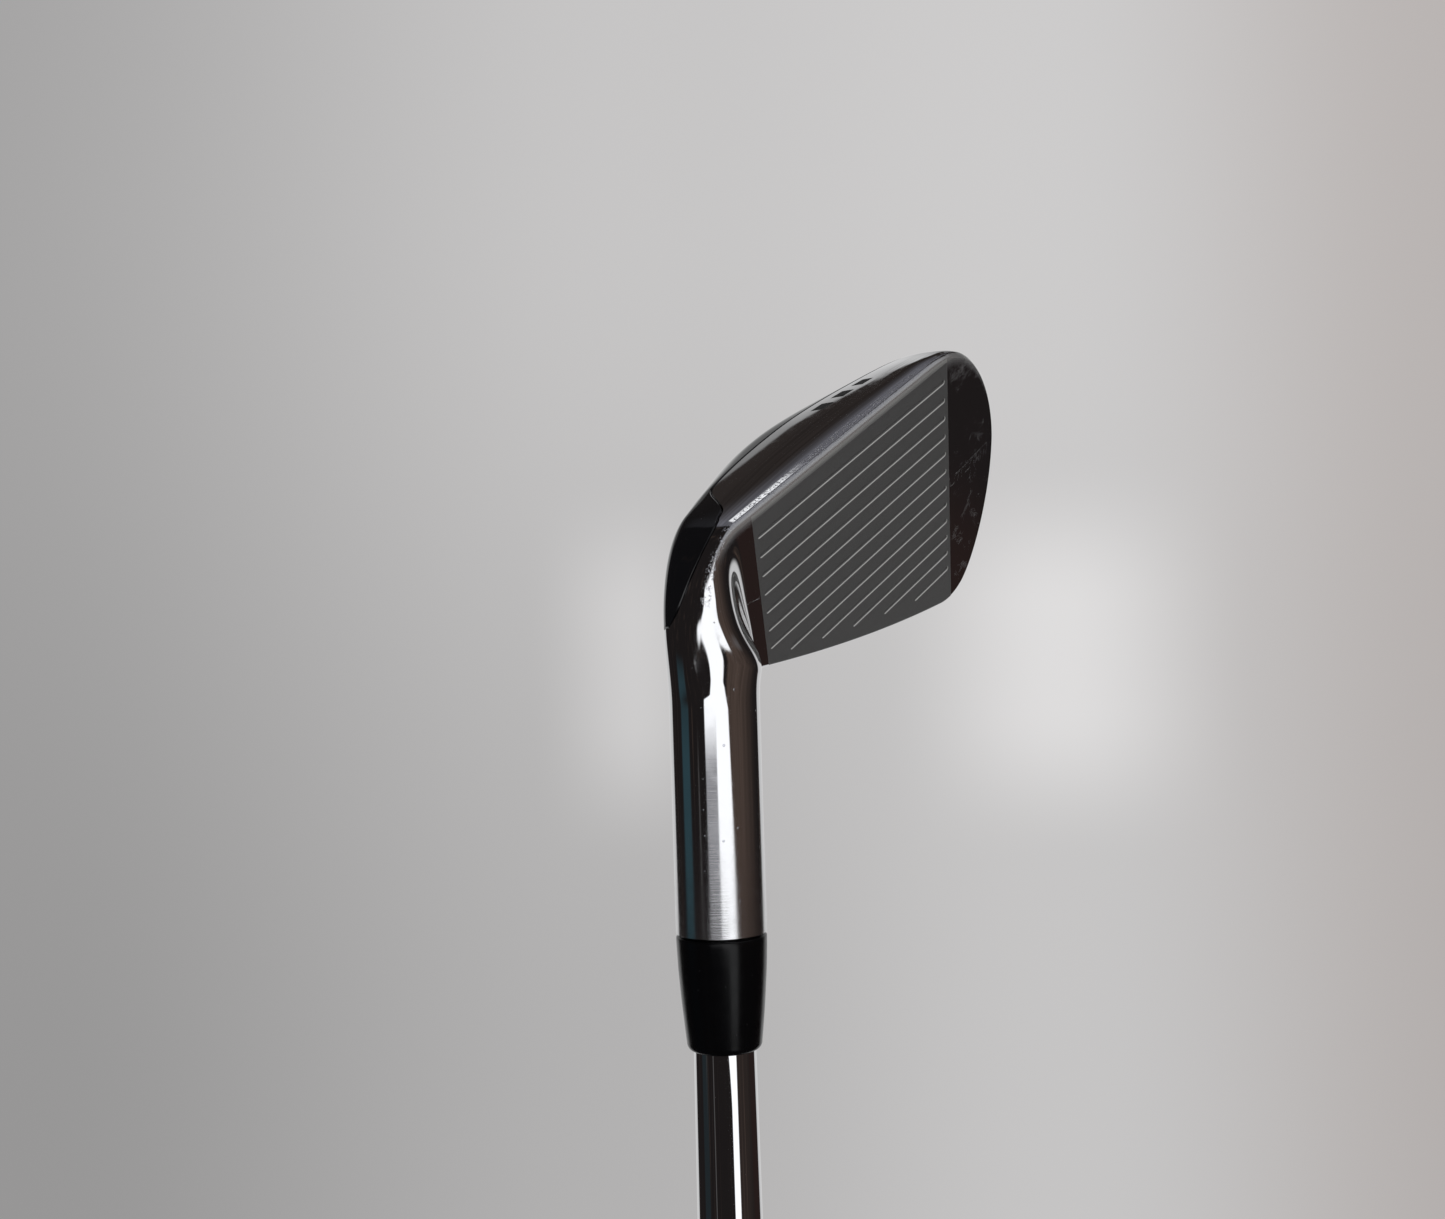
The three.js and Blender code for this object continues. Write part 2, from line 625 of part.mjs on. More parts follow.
function ferruleRing() {
  const top = HOSEL_END - 0.05;
  const foot = HOSEL_END - FERRULE_LENGTH;
  const inner = SHAFT_TIP_RADIUS + 0.08;
  const profile = [[inner, top], [HOSEL_RADIUS - 0.25, top], [HOSEL_RADIUS, top - 0.3]];
  steps(0, 1, 6).slice(1).forEach((share) => {
    profile.push([mix(HOSEL_RADIUS, 5.5, share ** 1.5), mix(top - 0.3, foot + 1, share)]);
  });
  profile.push([5.2, foot + 0.3], [4.85, foot], [inner, foot]);
  return turned(profile);
}

function epoxySleeve() {
  return turned([[SHAFT_TIP_RADIUS + 0.05, HOSEL_END + 0.1], [BORE_RADIUS - 0.05, HOSEL_END + 0.1],
    [BORE_RADIUS - 0.05, SHAFT_TOP], [SHAFT_TIP_RADIUS + 0.05, SHAFT_TOP]]);
}

function tipWeight() {
  const radius = SHAFT_TIP_RADIUS - SHAFT_WALL - 0.1;
  return turned([[0, SHAFT_TOP - 14], [radius - 0.6, SHAFT_TOP - 14], [radius, SHAFT_TOP - 13],
    [radius, SHAFT_TOP - 0.5], [0, SHAFT_TOP - 0.5]]);
}

function shaftBand() {
  const bottom = FIRST_STEP + STEP_PITCH + 6;
  const radius = shaftRadius(bottom);
  return turned([[radius + 0.04, bottom], [radius + 0.14, bottom], [radius + 0.14, bottom + 32],
    [radius + 0.04, bottom + 32]]);
}

const TAPE_RADIUS = SHAFT_BUTT_RADIUS + 0.25;
const GRIP_BORE = TAPE_RADIUS + 0.05;
const GRIP_BOTTOM = CAP_THICKNESS + 0.3;

function gripSleeve() {
  const profile = [[GRIP_BORE, GRIP_BOTTOM], [GRIP_BUTT_RADIUS, GRIP_BOTTOM], [GRIP_BUTT_RADIUS, 12]];
  steps(0, 1, 8).slice(1).forEach((share) => {
    const radius = mix(GRIP_BUTT_RADIUS, GRIP_MOUTH_RADIUS, share ** 0.8);
    profile.push([radius, mix(12, GRIP_LENGTH - 1.2, share)]);
  });
  profile.push([GRIP_MOUTH_RADIUS - 1, GRIP_LENGTH], [GRIP_BORE, GRIP_LENGTH]);
  return turned(profile);
}

function gripTape() {
  const inner = SHAFT_BUTT_RADIUS + 0.04;
  return turned([[inner, GRIP_BOTTOM + 2], [TAPE_RADIUS, GRIP_BOTTOM + 2], [TAPE_RADIUS, GRIP_LENGTH - 6],
    [inner, GRIP_LENGTH - 6]]);
}

function gripCap() {
  return turned([[VENT_RADIUS, 0], [GRIP_BUTT_RADIUS - 1.4, 0], [GRIP_BUTT_RADIUS - 0.4, 0.4],
    [GRIP_BUTT_RADIUS, 1.4], [GRIP_BUTT_RADIUS, CAP_THICKNESS], [VENT_RADIUS, CAP_THICKNESS]]);
}

// ---------------------------------------------------------------- assembly
const CHROME = { color: 0xb9bbbd, roughness: 0.12, metalness: 1 };
const BLASTED = { color: 0x5a5a5c, roughness: 0.5, metalness: 1 };
const BLACK_GLOSS = { color: 0x08080a, roughness: 0.1, metalness: 0.1 };
const BLACK_SATIN = { color: 0x0b0b0c, roughness: 0.3, metalness: 0 };
const RUBBER = { color: 0x141414, roughness: 0.85, metalness: 0 };
const TUNGSTEN = { color: 0x77777c, roughness: 0.4, metalness: 1 };
const ELASTOMER = { color: 0x2c3a4a, roughness: 0.7, metalness: 0 };
const ADHESIVE = { color: 0xcfc9b8, roughness: 0.6, metalness: 0 };
const BRASS = { color: 0xb08d4a, roughness: 0.35, metalness: 1 };
const SATIN_METAL = { color: 0x8d9196, roughness: 0.35, metalness: 1 };

const club = new THREE.Group();

function addPiece(name, solid, look) {
  const mesh = new THREE.Mesh(toGeometry(solid), new THREE.MeshStandardMaterial(look));
  mesh.name = name;
  club.add(mesh);
}

addPiece("head_body", headBody(), CHROME);
addPiece("face_plate", facePlate(), BLASTED);
addPiece("rear_shell", rearShell(), BLACK_GLOSS);
addPiece("back_badge", badgeSlab(0, BADGE_THICKNESS, 0), SATIN_METAL);
addPiece("badge_tape", badgeSlab(0, BADGE_THICKNESS + TAPE_THICKNESS, -BADGE_THICKNESS - 0.02), ADHESIVE);
BAR_STATIONS.forEach((place, index) => {
  addPiece(`sole_bar_${index + 1}`, soleBar(place, 0, FILL_DEPTH, -0.02), BLACK_GLOSS);
});
addPiece("cavity_damper", cavityDamper(), ELASTOMER);
addPiece("toe_weight", tungstenWeight(33, 45), TUNGSTEN);
addPiece("heel_weight", tungstenWeight(10, 18), TUNGSTEN);
addPiece("hosel_epoxy", epoxySleeve(), ADHESIVE);
addPiece("ferrule", ferruleRing(), BLACK_SATIN);
addPiece("shaft", shaftTube(), CHROME);
addPiece("tip_weight", tipWeight(), BRASS);
addPiece("shaft_band", shaftBand(), SATIN_METAL);
addPiece("grip_tape", gripTape(), ADHESIVE);
addPiece("grip", gripSleeve(), RUBBER);
addPiece("grip_cap", gripCap(), RUBBER);

export default club;
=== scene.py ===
import math
from functools import partial, reduce

import bmesh
import bpy
import numpy as np
from mathutils import Euler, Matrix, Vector
from mathutils.bvhtree import BVHTree


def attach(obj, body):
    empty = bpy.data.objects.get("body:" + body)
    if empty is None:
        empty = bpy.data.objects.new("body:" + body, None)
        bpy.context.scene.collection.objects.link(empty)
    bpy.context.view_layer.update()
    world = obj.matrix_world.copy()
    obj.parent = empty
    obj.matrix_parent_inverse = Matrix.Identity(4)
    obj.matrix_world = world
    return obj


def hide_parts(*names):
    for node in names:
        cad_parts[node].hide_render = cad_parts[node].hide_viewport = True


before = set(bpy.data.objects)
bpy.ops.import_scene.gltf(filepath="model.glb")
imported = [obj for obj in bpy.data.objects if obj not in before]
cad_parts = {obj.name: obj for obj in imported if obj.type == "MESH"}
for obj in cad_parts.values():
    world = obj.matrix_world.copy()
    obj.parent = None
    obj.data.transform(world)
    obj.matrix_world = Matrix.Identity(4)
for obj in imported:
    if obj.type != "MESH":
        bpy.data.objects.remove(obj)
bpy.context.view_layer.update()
MM = 0.001

# ---- driving dimensions, mm and degrees
CLUB_LENGTH = 965.0  # butt end to the ground under the heel, along the shaft
LIE = math.radians(57.8)
LOFT = math.radians(25.3)

SCORE_PITCH = 3.6
SCORE_LENGTH = 51.9
SCORE_WIDTH = 0.9
SCORE_DEPTH = 0.45
SCORE_FLOOR = 0.4
FULL_SCORE_LINES = 7
SHORT_SCORE_STARTS = [4.8, 13.1, 21.8, 31.0, 40.6]
SCORE_FROM_AXIS = 6.15
SCORE_BEHIND_AXIS = -1.27
SCORE_HEIGHT = 6.03

HOSEL_RADIUS = 6.625
HOSEL_LENGTH = 59.6
HOSEL_END = CLUB_LENGTH - HOSEL_LENGTH
HOSEL_CHAMFER = 0.35
BORE_RADIUS = 4.8
BORE_DEPTH = 32.0

FACE_HEEL = -3.6
FACE_TOE = 67.3
TOE_TIP_HEIGHT = 19.4
FACE_BOTTOM = -3.8
TOPLINE_THICKNESS = 5.8
TOPLINE_FRONT_RADIUS = 0.8
TOPLINE_BACK_RADIUS = 1.2
LEADING_EDGE_RADIUS = 1.0
FACET_LENGTH = 1.7
SOLE_LENGTH = 6.8
RELIEF_LENGTH = 8.0
FACET_ANGLE = math.radians(6)
SOLE_ANGLE = math.radians(17)
RELIEF_ANGLE = math.radians(24)
HEAD_DEPTH = 21.8
HEEL_DEPTH = 12.5
TOE_DEPTH = 5.8
CROTCH_RADIUS = 6.0

PLATE_THICKNESS = 2.4
SHELL_THICKNESS = 1.7

SHAFT_TIP_RADIUS = 4.5
SHAFT_BODY_RADIUS = 4.75
SHAFT_BUTT_RADIUS = 7.62
SHAFT_WALL = 0.75
STEP_COUNT = 11
STEP_PITCH = 44.45
FIRST_STEP = 281.5
FERRULE_LENGTH = 16.4
FERRULE_END = HOSEL_END - FERRULE_LENGTH
GRIP_LENGTH = 270.0
GRIP_BUTT_RADIUS = 13.2
GRIP_MOUTH_RADIUS = 9.7
CAP_THICKNESS = 3.6
VENT_RADIUS = 1.5


# ---- camera
CAMERA_PLACE = Vector((-139.60, -164.04, 946.84)) * MM
CAMERA_AZIMUTH = math.radians(40.82)  # from +Y towards +X
CAMERA_RISE = math.radians(1.5)
CAMERA_ROLL = math.radians(1.76)
CAMERA_LENS = 36.71
SENSOR_WIDTH = 36.0


def make_camera():
    data = bpy.data.cameras.new("camera")
    data.lens = CAMERA_LENS
    data.sensor_width = SENSOR_WIDTH
    data.sensor_fit = "HORIZONTAL"
    data.clip_start = 0.01
    camera = bpy.data.objects.new("camera", data)
    turn = Euler((0, 0, -CAMERA_AZIMUTH)).to_matrix()
    rise = Euler((math.pi / 2 + CAMERA_RISE, 0, 0)).to_matrix()
    roll = Euler((0, 0, -CAMERA_ROLL)).to_matrix()
    camera.matrix_world = (turn @ rise @ roll).to_4x4()
    camera.location = CAMERA_PLACE
    bpy.context.scene.collection.objects.link(camera)
    bpy.context.scene.camera = camera


make_camera()


# ---- frames
# ground frame: a to the toe along the score lines, b away from the target, h up from the ground
def ground_point(ground):
    a, b, h = np.moveaxis(np.asarray(ground, float), -1, 0)
    x = math.sin(LIE) * a + math.cos(LIE) * h
    z = CLUB_LENGTH + math.cos(LIE) * a - math.sin(LIE) * h
    return np.stack([x, b, z], -1)


# face frame: u to the toe, v up the face, w behind the face
def face_to_ground(face):
    u, v, w = np.moveaxis(np.asarray(face, float), -1, 0)
    b = SCORE_BEHIND_AXIS + v * math.sin(LOFT) + w * math.cos(LOFT)
    h = SCORE_HEIGHT + v * math.cos(LOFT) - w * math.sin(LOFT)
    return np.stack([SCORE_FROM_AXIS + u, b, h], -1)


def face_point(face):
    return ground_point(face_to_ground(face))


FACE_ORIGIN = face_point((0, 0, 0))
ALONG_U = face_point((1, 0, 0)) - FACE_ORIGIN
ALONG_W = face_point((0, 0, 1)) - FACE_ORIGIN


# ---- outlines
def outline(*points, samples=400):
    """A function of the first coordinate, from cubic Bezier curves that share their end points."""
    t = np.linspace(0, 1, samples)[:, None]
    weights = [(1 - t) ** 3, 3 * t * (1 - t) ** 2, 3 * t**2 * (1 - t), t**3]
    curves = [points[first:first + 4] for first in range(0, len(points) - 1, 3)]
    line = np.concatenate([sum(w * np.array(p) for w, p in zip(weights, c)) for c in curves])
    return lambda x: np.interp(x, line[:, 0], line[:, 1])


topline = outline(
    (-4.7, 23.1), (13.3, 32.6), (31, 40.6), (49, 46.7), (51.2, 47.45), (53.6, 47.7), (56.2, 46.4),
    (60.8, 43.9), (FACE_TOE, 32), (FACE_TOE, TOE_TIP_HEIGHT),
)
bottom_edge = outline(
    (-4.7, FACE_BOTTOM), (15, FACE_BOTTOM), (32, FACE_BOTTOM), (44, FACE_BOTTOM),
    (48, FACE_BOTTOM), (51, -3.9), (54, -3.2), (62.4, -0.9), (FACE_TOE, 10.3), (FACE_TOE, TOE_TIP_HEIGHT),
)
head_depth = outline(
    (FACE_HEEL, HEEL_DEPTH), (6, 17.2), (14, HEAD_DEPTH), (26, HEAD_DEPTH),
    (40, HEAD_DEPTH), (50.5, 12.6), (FACE_TOE, TOE_DEPTH),
)
sole_rise = outline((FACE_HEEL, 0.6), (6, 0.87), (14, 1), (26, 1))

# ---- head surface
# One closed surface of rings, from the toe over the blade, through a fan about the crotch, up the
# hosel. Anchors of a ring: 0 face bottom, 1 face middle, 2 face top, 3 topline front, 4 topline
# rear, 5 upper back, 6 cavity foot, 7 muscle top, 8 muscle rear, 9 trailing edge, 10 sole ridge,
# 11 wear facet, 12 leading edge.
RING_ANGLES = np.radians([-45, 8, 60, 76, 104, 120, 152, 184, 214, 240, 266, 290, 302])
STRIPS = len(RING_ANGLES)


def strip_end(start, angle, length):
    return (start[0] + math.sin(angle) * length, start[1] + math.cos(angle) * length)


def blade_ring(u):
    """Anchor points and tangents of a blade section, in the ground frame."""
    top = float(topline(u))
    bottom = float(bottom_edge(u))
    height = top - bottom
    depth = float(head_depth(u))
    size = min(1.0, height / 32)
    sole = (depth - 2) / (HEAD_DEPTH - 2)
    thickness = TOPLINE_THICKNESS
    edge = LEADING_EDGE_RADIUS * min(1.0, size * 1.5)
    rise = float(sole_rise(u))
    facet = FACET_ANGLE * rise
    main = SOLE_ANGLE * rise
    relief = RELIEF_ANGLE * rise
    leading = (bottom - edge * math.cos(facet), edge + edge * math.sin(facet))
    wear = strip_end(leading, facet, FACET_LENGTH * sole)
    ridge = strip_end(wear, main, SOLE_LENGTH * sole)
    trailing = strip_end(ridge, relief, RELIEF_LENGTH * sole)
    front = TOPLINE_FRONT_RADIUS
    back = TOPLINE_BACK_RADIUS
    anchors = np.array([
        [bottom, 0, 1, 0],
        [bottom + height / 2, 0, 1, 0],
        [top - front, 0, 1, 0],
        [top, front, 0, 1],
        [top, thickness - back, 0, 1],
        [top - back, thickness, -1, 0],
        [bottom + 24 * size, thickness + (depth - thickness) * 0.13, -0.97, 0.24],
        [bottom + 16.5 * size, thickness + (depth - thickness) * 0.66, -0.8, 0.6],
        [bottom + 9.3 * size, depth, -1, 0.05],
        [*trailing, -math.sin(relief * 1.15), -math.cos(relief * 1.15)],
        [*ridge, -math.sin(main * 1.2), -math.cos(main * 1.2)],
        [*wear, -math.sin(facet * 1.6), -math.cos(facet * 1.6)],
        [*leading, -math.sin(facet), -math.cos(facet)],
    ])
    flat = np.column_stack([np.full(STRIPS, u), anchors[:, :2]])
    tangent_b = anchors[:, 2] * math.sin(LOFT) + anchors[:, 3] * math.cos(LOFT)
    tangent_h = anchors[:, 2] * math.cos(LOFT) - anchors[:, 3] * math.sin(LOFT)
    return face_to_ground(flat), np.column_stack([np.zeros(STRIPS), tangent_b, tangent_h])


HEEL_POINTS, HEEL_TANGENTS = blade_ring(FACE_HEEL)
HEEL_STEP = 0.5
NEXT_POINTS = blade_ring(FACE_HEEL + HEEL_STEP)[0]
CROTCH_A = SCORE_FROM_AXIS + FACE_HEEL
CROTCH_H = HEEL_POINTS[3, 2] + CROTCH_RADIUS
CROTCH_TO_AXIS = CROTCH_A * math.sin(LIE) + CROTCH_H * math.cos(LIE)
CROTCH_ALONG_AXIS = CROTCH_H * math.sin(LIE) - CROTCH_A * math.cos(LIE)

FAN_BELOW = CROTCH_H - HEEL_POINTS[:, 2]
FAN_FROM = np.column_stack([FAN_BELOW, HEEL_POINTS[:, 1]])
FAN_CHANGE = (NEXT_POINTS - HEEL_POINTS) / HEEL_STEP
FAN_SLOPE = np.column_stack([FAN_CHANGE[:, 2], -FAN_CHANGE[:, 1]]) * FAN_BELOW[:, None] * LIE
FAN_TO = np.column_stack([
    CROTCH_TO_AXIS - HOSEL_RADIUS * np.sin(RING_ANGLES),
    -HOSEL_RADIUS * np.cos(RING_ANGLES),
])
FAN_TANGENT_FROM = np.column_stack([-HEEL_TANGENTS[:, 2], HEEL_TANGENTS[:, 1]])


# how early each anchor reaches its place on the hosel, and where the neck's sections turn smooth
FAN_SPEED = np.array([1.2, 1.4, 1.1, 1, 1, 1, 1, 1, 1, 1, 1, 1.05, 1.15])[:, None]
SMOOTH_FROM = 0.4


def ease(share):
    share = np.clip(share, 0, 1)
    return share * share * (3 - 2 * share)


def smooth_tangents(points):
    """At each point, the tangent of the circle through it and its two neighbours."""
    after = np.roll(points, -1, axis=0) - points
    before = np.roll(after, 1, axis=0)
    after_size = np.linalg.norm(after, axis=1)[:, None]
    before_size = np.linalg.norm(before, axis=1)[:, None]
    tangents = before / before_size * after_size + after / after_size * before_size
    return tangents / np.linalg.norm(tangents, axis=1)[:, None]


def fan_ring(share, along_hosel=0.0):
    turn = share * LIE
    along = np.minimum(1, share * FAN_SPEED)
    start = along * (1 - along) ** 2 / FAN_SPEED
    places = FAN_FROM + (FAN_TO - FAN_FROM) * ease(along) + FAN_SLOPE * start
    smooth = ease(share / SMOOTH_FROM)
    tangents = FAN_TANGENT_FROM + (smooth_tangents(places) - FAN_TANGENT_FROM) * smooth
    tangents /= np.linalg.norm(tangents, axis=1)[:, None]
    below, b = places.T
    a = CROTCH_A - math.sin(turn) * below - math.cos(LIE) * along_hosel
    h = CROTCH_H - math.cos(turn) * below + math.sin(LIE) * along_hosel
    tangent_a = -math.sin(turn) * tangents[:, 0]
    tangent_h = -math.cos(turn) * tangents[:, 0]
    return np.column_stack([a, b, h]), np.column_stack([tangent_a, tangents[:, 1], tangent_h])


def ring_at(station):
    """Stations run 0 to 1 along the blade from the toe, to 2 through the fan, to 3 up the hosel."""
    if station <= 1:
        return blade_ring(FACE_HEEL + (FACE_TOE - FACE_HEEL) * math.cos(station * math.pi / 2))
    if station <= 2:
        return fan_ring(station - 1)
    return fan_ring(1.0, (station - 2) * (HOSEL_LENGTH - CROTCH_ALONG_AXIS))


RING_TURNS = np.mod(np.roll(RING_ANGLES, -1) - RING_ANGLES, 2 * math.pi)
ARC_SHARES = (4 / 3) * np.tan(RING_TURNS / 4) / (2 * np.sin(RING_TURNS / 2))


def surface(stations, arounds):
    """Points of the head's surface, in mm; arounds holds one row of places for each station."""
    rows = []
    for station, around in zip(stations, arounds):
        points, tangents = ring_at(float(station))
        wrapped = np.mod(around, STRIPS)
        index = np.minimum(np.floor(wrapped).astype(int), STRIPS - 1)
        t = (wrapped - index)[:, None]
        after = (index + 1) % STRIPS
        start, end = points[index], points[after]
        fan = min(1.0, max(0.0, station - 1))
        share = 1 / 3 + (ARC_SHARES[index] - 1 / 3) * fan
        reach = (np.linalg.norm(end - start, axis=1) * share)[:, None]
        near_handle = start + tangents[index] * reach
        far_handle = end - tangents[after] * reach
        rows.append((1 - t) ** 3 * start + 3 * t * (1 - t) ** 2 * near_handle
                    + 3 * t**2 * (1 - t) * far_handle + t**3 * end)
    return ground_point(np.array(rows))


NORMAL_STEP = 0.003


def surface_normals(stations, arounds):
    here = surface(np.maximum(0.002, stations - NORMAL_STEP), arounds)
    there = surface(np.minimum(3.0, stations + NORMAL_STEP), arounds)
    before = surface(stations, arounds - NORMAL_STEP * 4)
    after = surface(stations, arounds + NORMAL_STEP * 4)
    normals = np.cross(there - here, after - before)
    return normals / np.linalg.norm(normals, axis=-1, keepdims=True)


def under_skin(stations, arounds, *depths):
    """Grids of points at depths under the surface."""
    skin = surface(stations, arounds)
    normals = surface_normals(stations, arounds)
    return [skin - normals * depth for depth in depths]


# ---- mesh helpers
def new_object(name, vertices, faces, smooth_angle=35):
    """A mesh object from points in mm."""
    mesh = bpy.data.meshes.new(name)
    mesh.from_pydata((np.asarray(vertices) * MM).tolist(), [], faces)
    tidy = bmesh.new()
    tidy.from_mesh(mesh)
    bmesh.ops.recalc_face_normals(tidy, faces=tidy.faces)
    tidy.to_mesh(mesh)
    tidy.free()
    mesh.polygons.foreach_set("use_smooth", [True] * len(mesh.polygons))
    mesh.set_sharp_from_angle(angle=math.radians(smooth_angle))
    made = bpy.data.objects.new(name, mesh)
    bpy.context.scene.collection.objects.link(made)
    return made


def grid_faces(rows, columns, looped=False):
    """Faces of a grid of points whose rows are closed; looped joins the last row to the first."""
    row, column = np.meshgrid(np.arange(rows if looped else rows - 1), np.arange(columns), indexing="ij")
    after = (row + 1) % rows
    beside = (column + 1) % columns
    corners = [(row, column), (after, column), (after, beside), (row, beside)]
    return np.stack([r * columns + c for r, c in corners], -1).reshape(-1, 4).tolist()


def tube_mesh(rows):
    """Vertices and faces of closed rings, with a fan at each end."""
    count, columns = rows.shape[:2]
    faces = grid_faces(count, columns)
    vertices = rows.reshape(-1, 3).tolist()
    for row in (0, count - 1):
        middle = len(vertices)
        vertices.append(rows[row].mean(axis=0).tolist())
        ring = [row * columns + column for column in range(columns)]
        faces += [[middle, here, after] for here, after in zip(ring, ring[1:] + ring[:1])]
    return np.array(vertices), faces


def slab_mesh(outer, inner):
    """Vertices and faces of a closed plate between two grids of points."""
    rows, columns = outer.shape[:2]
    loops = np.concatenate([outer, inner[:, ::-1]], axis=1)
    faces = grid_faces(rows, columns * 2)
    for row in (0, rows - 1):
        base = row * columns * 2
        far = base + columns * 2 - 1
        faces += [[base + c, base + c + 1, far - c - 1, far - c] for c in range(columns - 1)]
    return loops.reshape(-1, 3), faces


def turned_mesh(profile, segments=128):
    """Vertices and faces of a closed profile of [radius, z] turned about the shaft's axis."""
    angles = np.arange(segments) * 2 * math.pi / segments
    rings = np.array([[(r * math.cos(t), r * math.sin(t), z) for r, z in profile] for t in angles])
    return rings.reshape(-1, 3), grid_faces(segments, len(profile), looped=True)


def quarter_turn(centre, reach, count):
    """Points of [radius, z] on a quarter of an ellipse, from its end in z to its end in radius."""
    turns = np.linspace(0, math.pi / 2, count)
    return [[centre[0] + reach[0] * math.sin(t), centre[1] + reach[1] * math.cos(t)] for t in turns]


def cut(target, tool):
    """Takes the tool's solid out of the target's, and deletes the tool."""
    modifier = target.modifiers.new("cut", "BOOLEAN")
    modifier.operation = "DIFFERENCE"
    modifier.solver = "MANIFOLD"
    modifier.object = tool
    apply_modifiers(target)
    bpy.data.objects.remove(tool)


def apply_modifiers(piece):
    bpy.context.view_layer.update()
    evaluated = piece.evaluated_get(bpy.context.evaluated_depsgraph_get())
    mesh = bpy.data.meshes.new_from_object(evaluated)
    piece.modifiers.clear()
    piece.data = mesh


def face_prism(name, corners, near, far):
    """A prism on an outline in the face frame, between two depths behind the face."""
    count = len(corners)
    vertices = [face_point((u, v, w)) for w in (near, far) for u, v in corners]
    sides = [[i, (i + 1) % count, count + (i + 1) % count, count + i] for i in range(count)]
    ends = [list(range(count)), list(range(count, 2 * count))]
    return new_object(name, vertices, sides + ends)


# ---- head pieces
FINE_STEPS = [14, 14, 6, 10, 6, 10, 16, 16, 18, 16, 18, 8, 14]
FINE_AROUND = np.concatenate([
    index + np.arange(count) / count for index, count in enumerate(FINE_STEPS)
])
FINE_STATIONS = np.concatenate([
    np.linspace(0.004, 1, 150), np.linspace(1, 2, 96)[1:], np.linspace(2, 3, 28)[1:],
])
FINE_GRID = np.tile(FINE_AROUND, (len(FINE_STATIONS), 1))

PLATE_HEEL = -0.9
PLATE_TOE = 52.7
PLATE_BOTTOM = -3.3
PLATE_RIM = 1.4
WINDOW_HEEL = 5.0
WINDOW_TOE = 49.0
WINDOW_BOTTOM = 5.0
WINDOW_RIM = 5.2
JOINT = 0.01  # the plate is welded in and ground flush


def outline_under_topline(heel, toe, bottom, rim, count):
    places = np.linspace(toe, heel, count)
    return [(heel, bottom), (toe, bottom)] + [(u, float(topline(u)) - rim) for u in places]


SHELL_TOE = 0.42
SHELL_NECK = 1.585
SHELL_TOP = 5.35
SHELL_TOP_RISE = 2.1
SHELL_COLUMNS = 110
shell_edge = outline(
    (SHELL_TOE - 0.1, 9), (0.6, 9), (0.8, 9), (0.915, 9), (0.945, 9), (0.955, 9.6), (0.98, 10.2),
    (1.03, 10.9), (1.25, 10.8), (1.36, 10.5), (1.47, 10.2), (1.57, 9.9), (SHELL_NECK + 0.02, 8.9),
)


def shell_edges(stations):
    """The shell's two edges at each station, and how many mm one unit of around covers there."""
    top = SHELL_TOP + SHELL_TOP_RISE * ease((stations - 1) / (SHELL_NECK - 1))
    sole = shell_edge(stations)
    return top, sole, millimetres_across(stations, top), millimetres_across(stations, sole)


def millimetres_across(stations, places):
    step = 0.02
    near = surface(stations, (places - step)[:, None])
    far = surface(stations, (places + step)[:, None])
    return np.linalg.norm(far - near, axis=-1)[:, 0] / (2 * step)


def millimetres_along(station, place):
    step = 0.002
    ends = surface([station - step, station + step], [[place], [place]])
    return float(np.linalg.norm(ends[1] - ends[0])) / (2 * step)


EDGE_ROUND = 0.35
EDGE_PLACES = np.array([0, 0.02, 0.07, 0.15, 0.25, 0.35])


def rounding(distance):
    """Depth of a rounded rim at a distance from the edge."""
    inside = np.clip(EDGE_ROUND - distance, 0, EDGE_ROUND)
    return EDGE_ROUND - np.sqrt(EDGE_ROUND**2 - inside**2)


def shell_stations(start, end):
    first = EDGE_PLACES / millimetres_along(start, 7)
    last = EDGE_PLACES / millimetres_along(end, 9)
    middle = np.linspace(start + first[-1], end - last[-1], 190)
    return np.concatenate([start + first[:-1], middle, end - last[:-1][::-1]])


def edge_distance_along(stations):
    start = (stations - stations[0]) * millimetres_along(stations[0], 7)
    end = (stations[-1] - stations) * millimetres_along(stations[-1], 9)
    return np.minimum(start, end)


def rear_shell():
    stations = shell_stations(SHELL_TOE, SHELL_NECK)
    top, sole, near, far = shell_edges(stations)
    start = top[:, None] + EDGE_PLACES / near[:, None]
    end = sole[:, None] - EDGE_PLACES / far[:, None]
    middle = start[:, -1:] + (end[:, -1:] - start[:, -1:]) * np.linspace(0, 1, SHELL_COLUMNS)
    arounds = np.concatenate([start[:, :-1], middle, end[:, -2::-1]], axis=1)
    across = np.full(arounds.shape[1], EDGE_ROUND)
    across[: len(EDGE_PLACES)] = EDGE_PLACES
    across[-len(EDGE_PLACES):] = EDGE_PLACES[::-1]
    distance = np.minimum(edge_distance_along(stations)[:, None], across[None, :])
    skins = under_skin(stations, arounds, rounding(distance)[..., None], SHELL_THICKNESS)
    shell = new_object("rear_shell_gloss", *slab_mesh(*skins))
    cut(shell, surface_block(BADGE_STATIONS, BADGE_AROUND, 1.0, 1.1, -CUT_HEIGHT))
    return shell


BADGE_STATIONS = (0.56, 0.8)
BADGE_AROUND = (5.52, 5.9)
BADGE_THICKNESS = 0.8


def surface_block(stations, arounds, grow, under, over, rows=60, columns=24):
    """A plain block that follows the surface, grown sideways in hundredths."""
    along = np.linspace(stations[0] - 0.004 * grow, stations[1] + 0.004 * grow, rows)
    places = np.linspace(arounds[0] - 0.02 * grow, arounds[1] + 0.02 * grow, columns)
    places = np.tile(places, (rows, 1))
    return new_object("block", *slab_mesh(*under_skin(along, places, over, under)))


SEAM = 0.12
POCKET_CHAMFER = 0.15
POCKET_OVER = 2.0


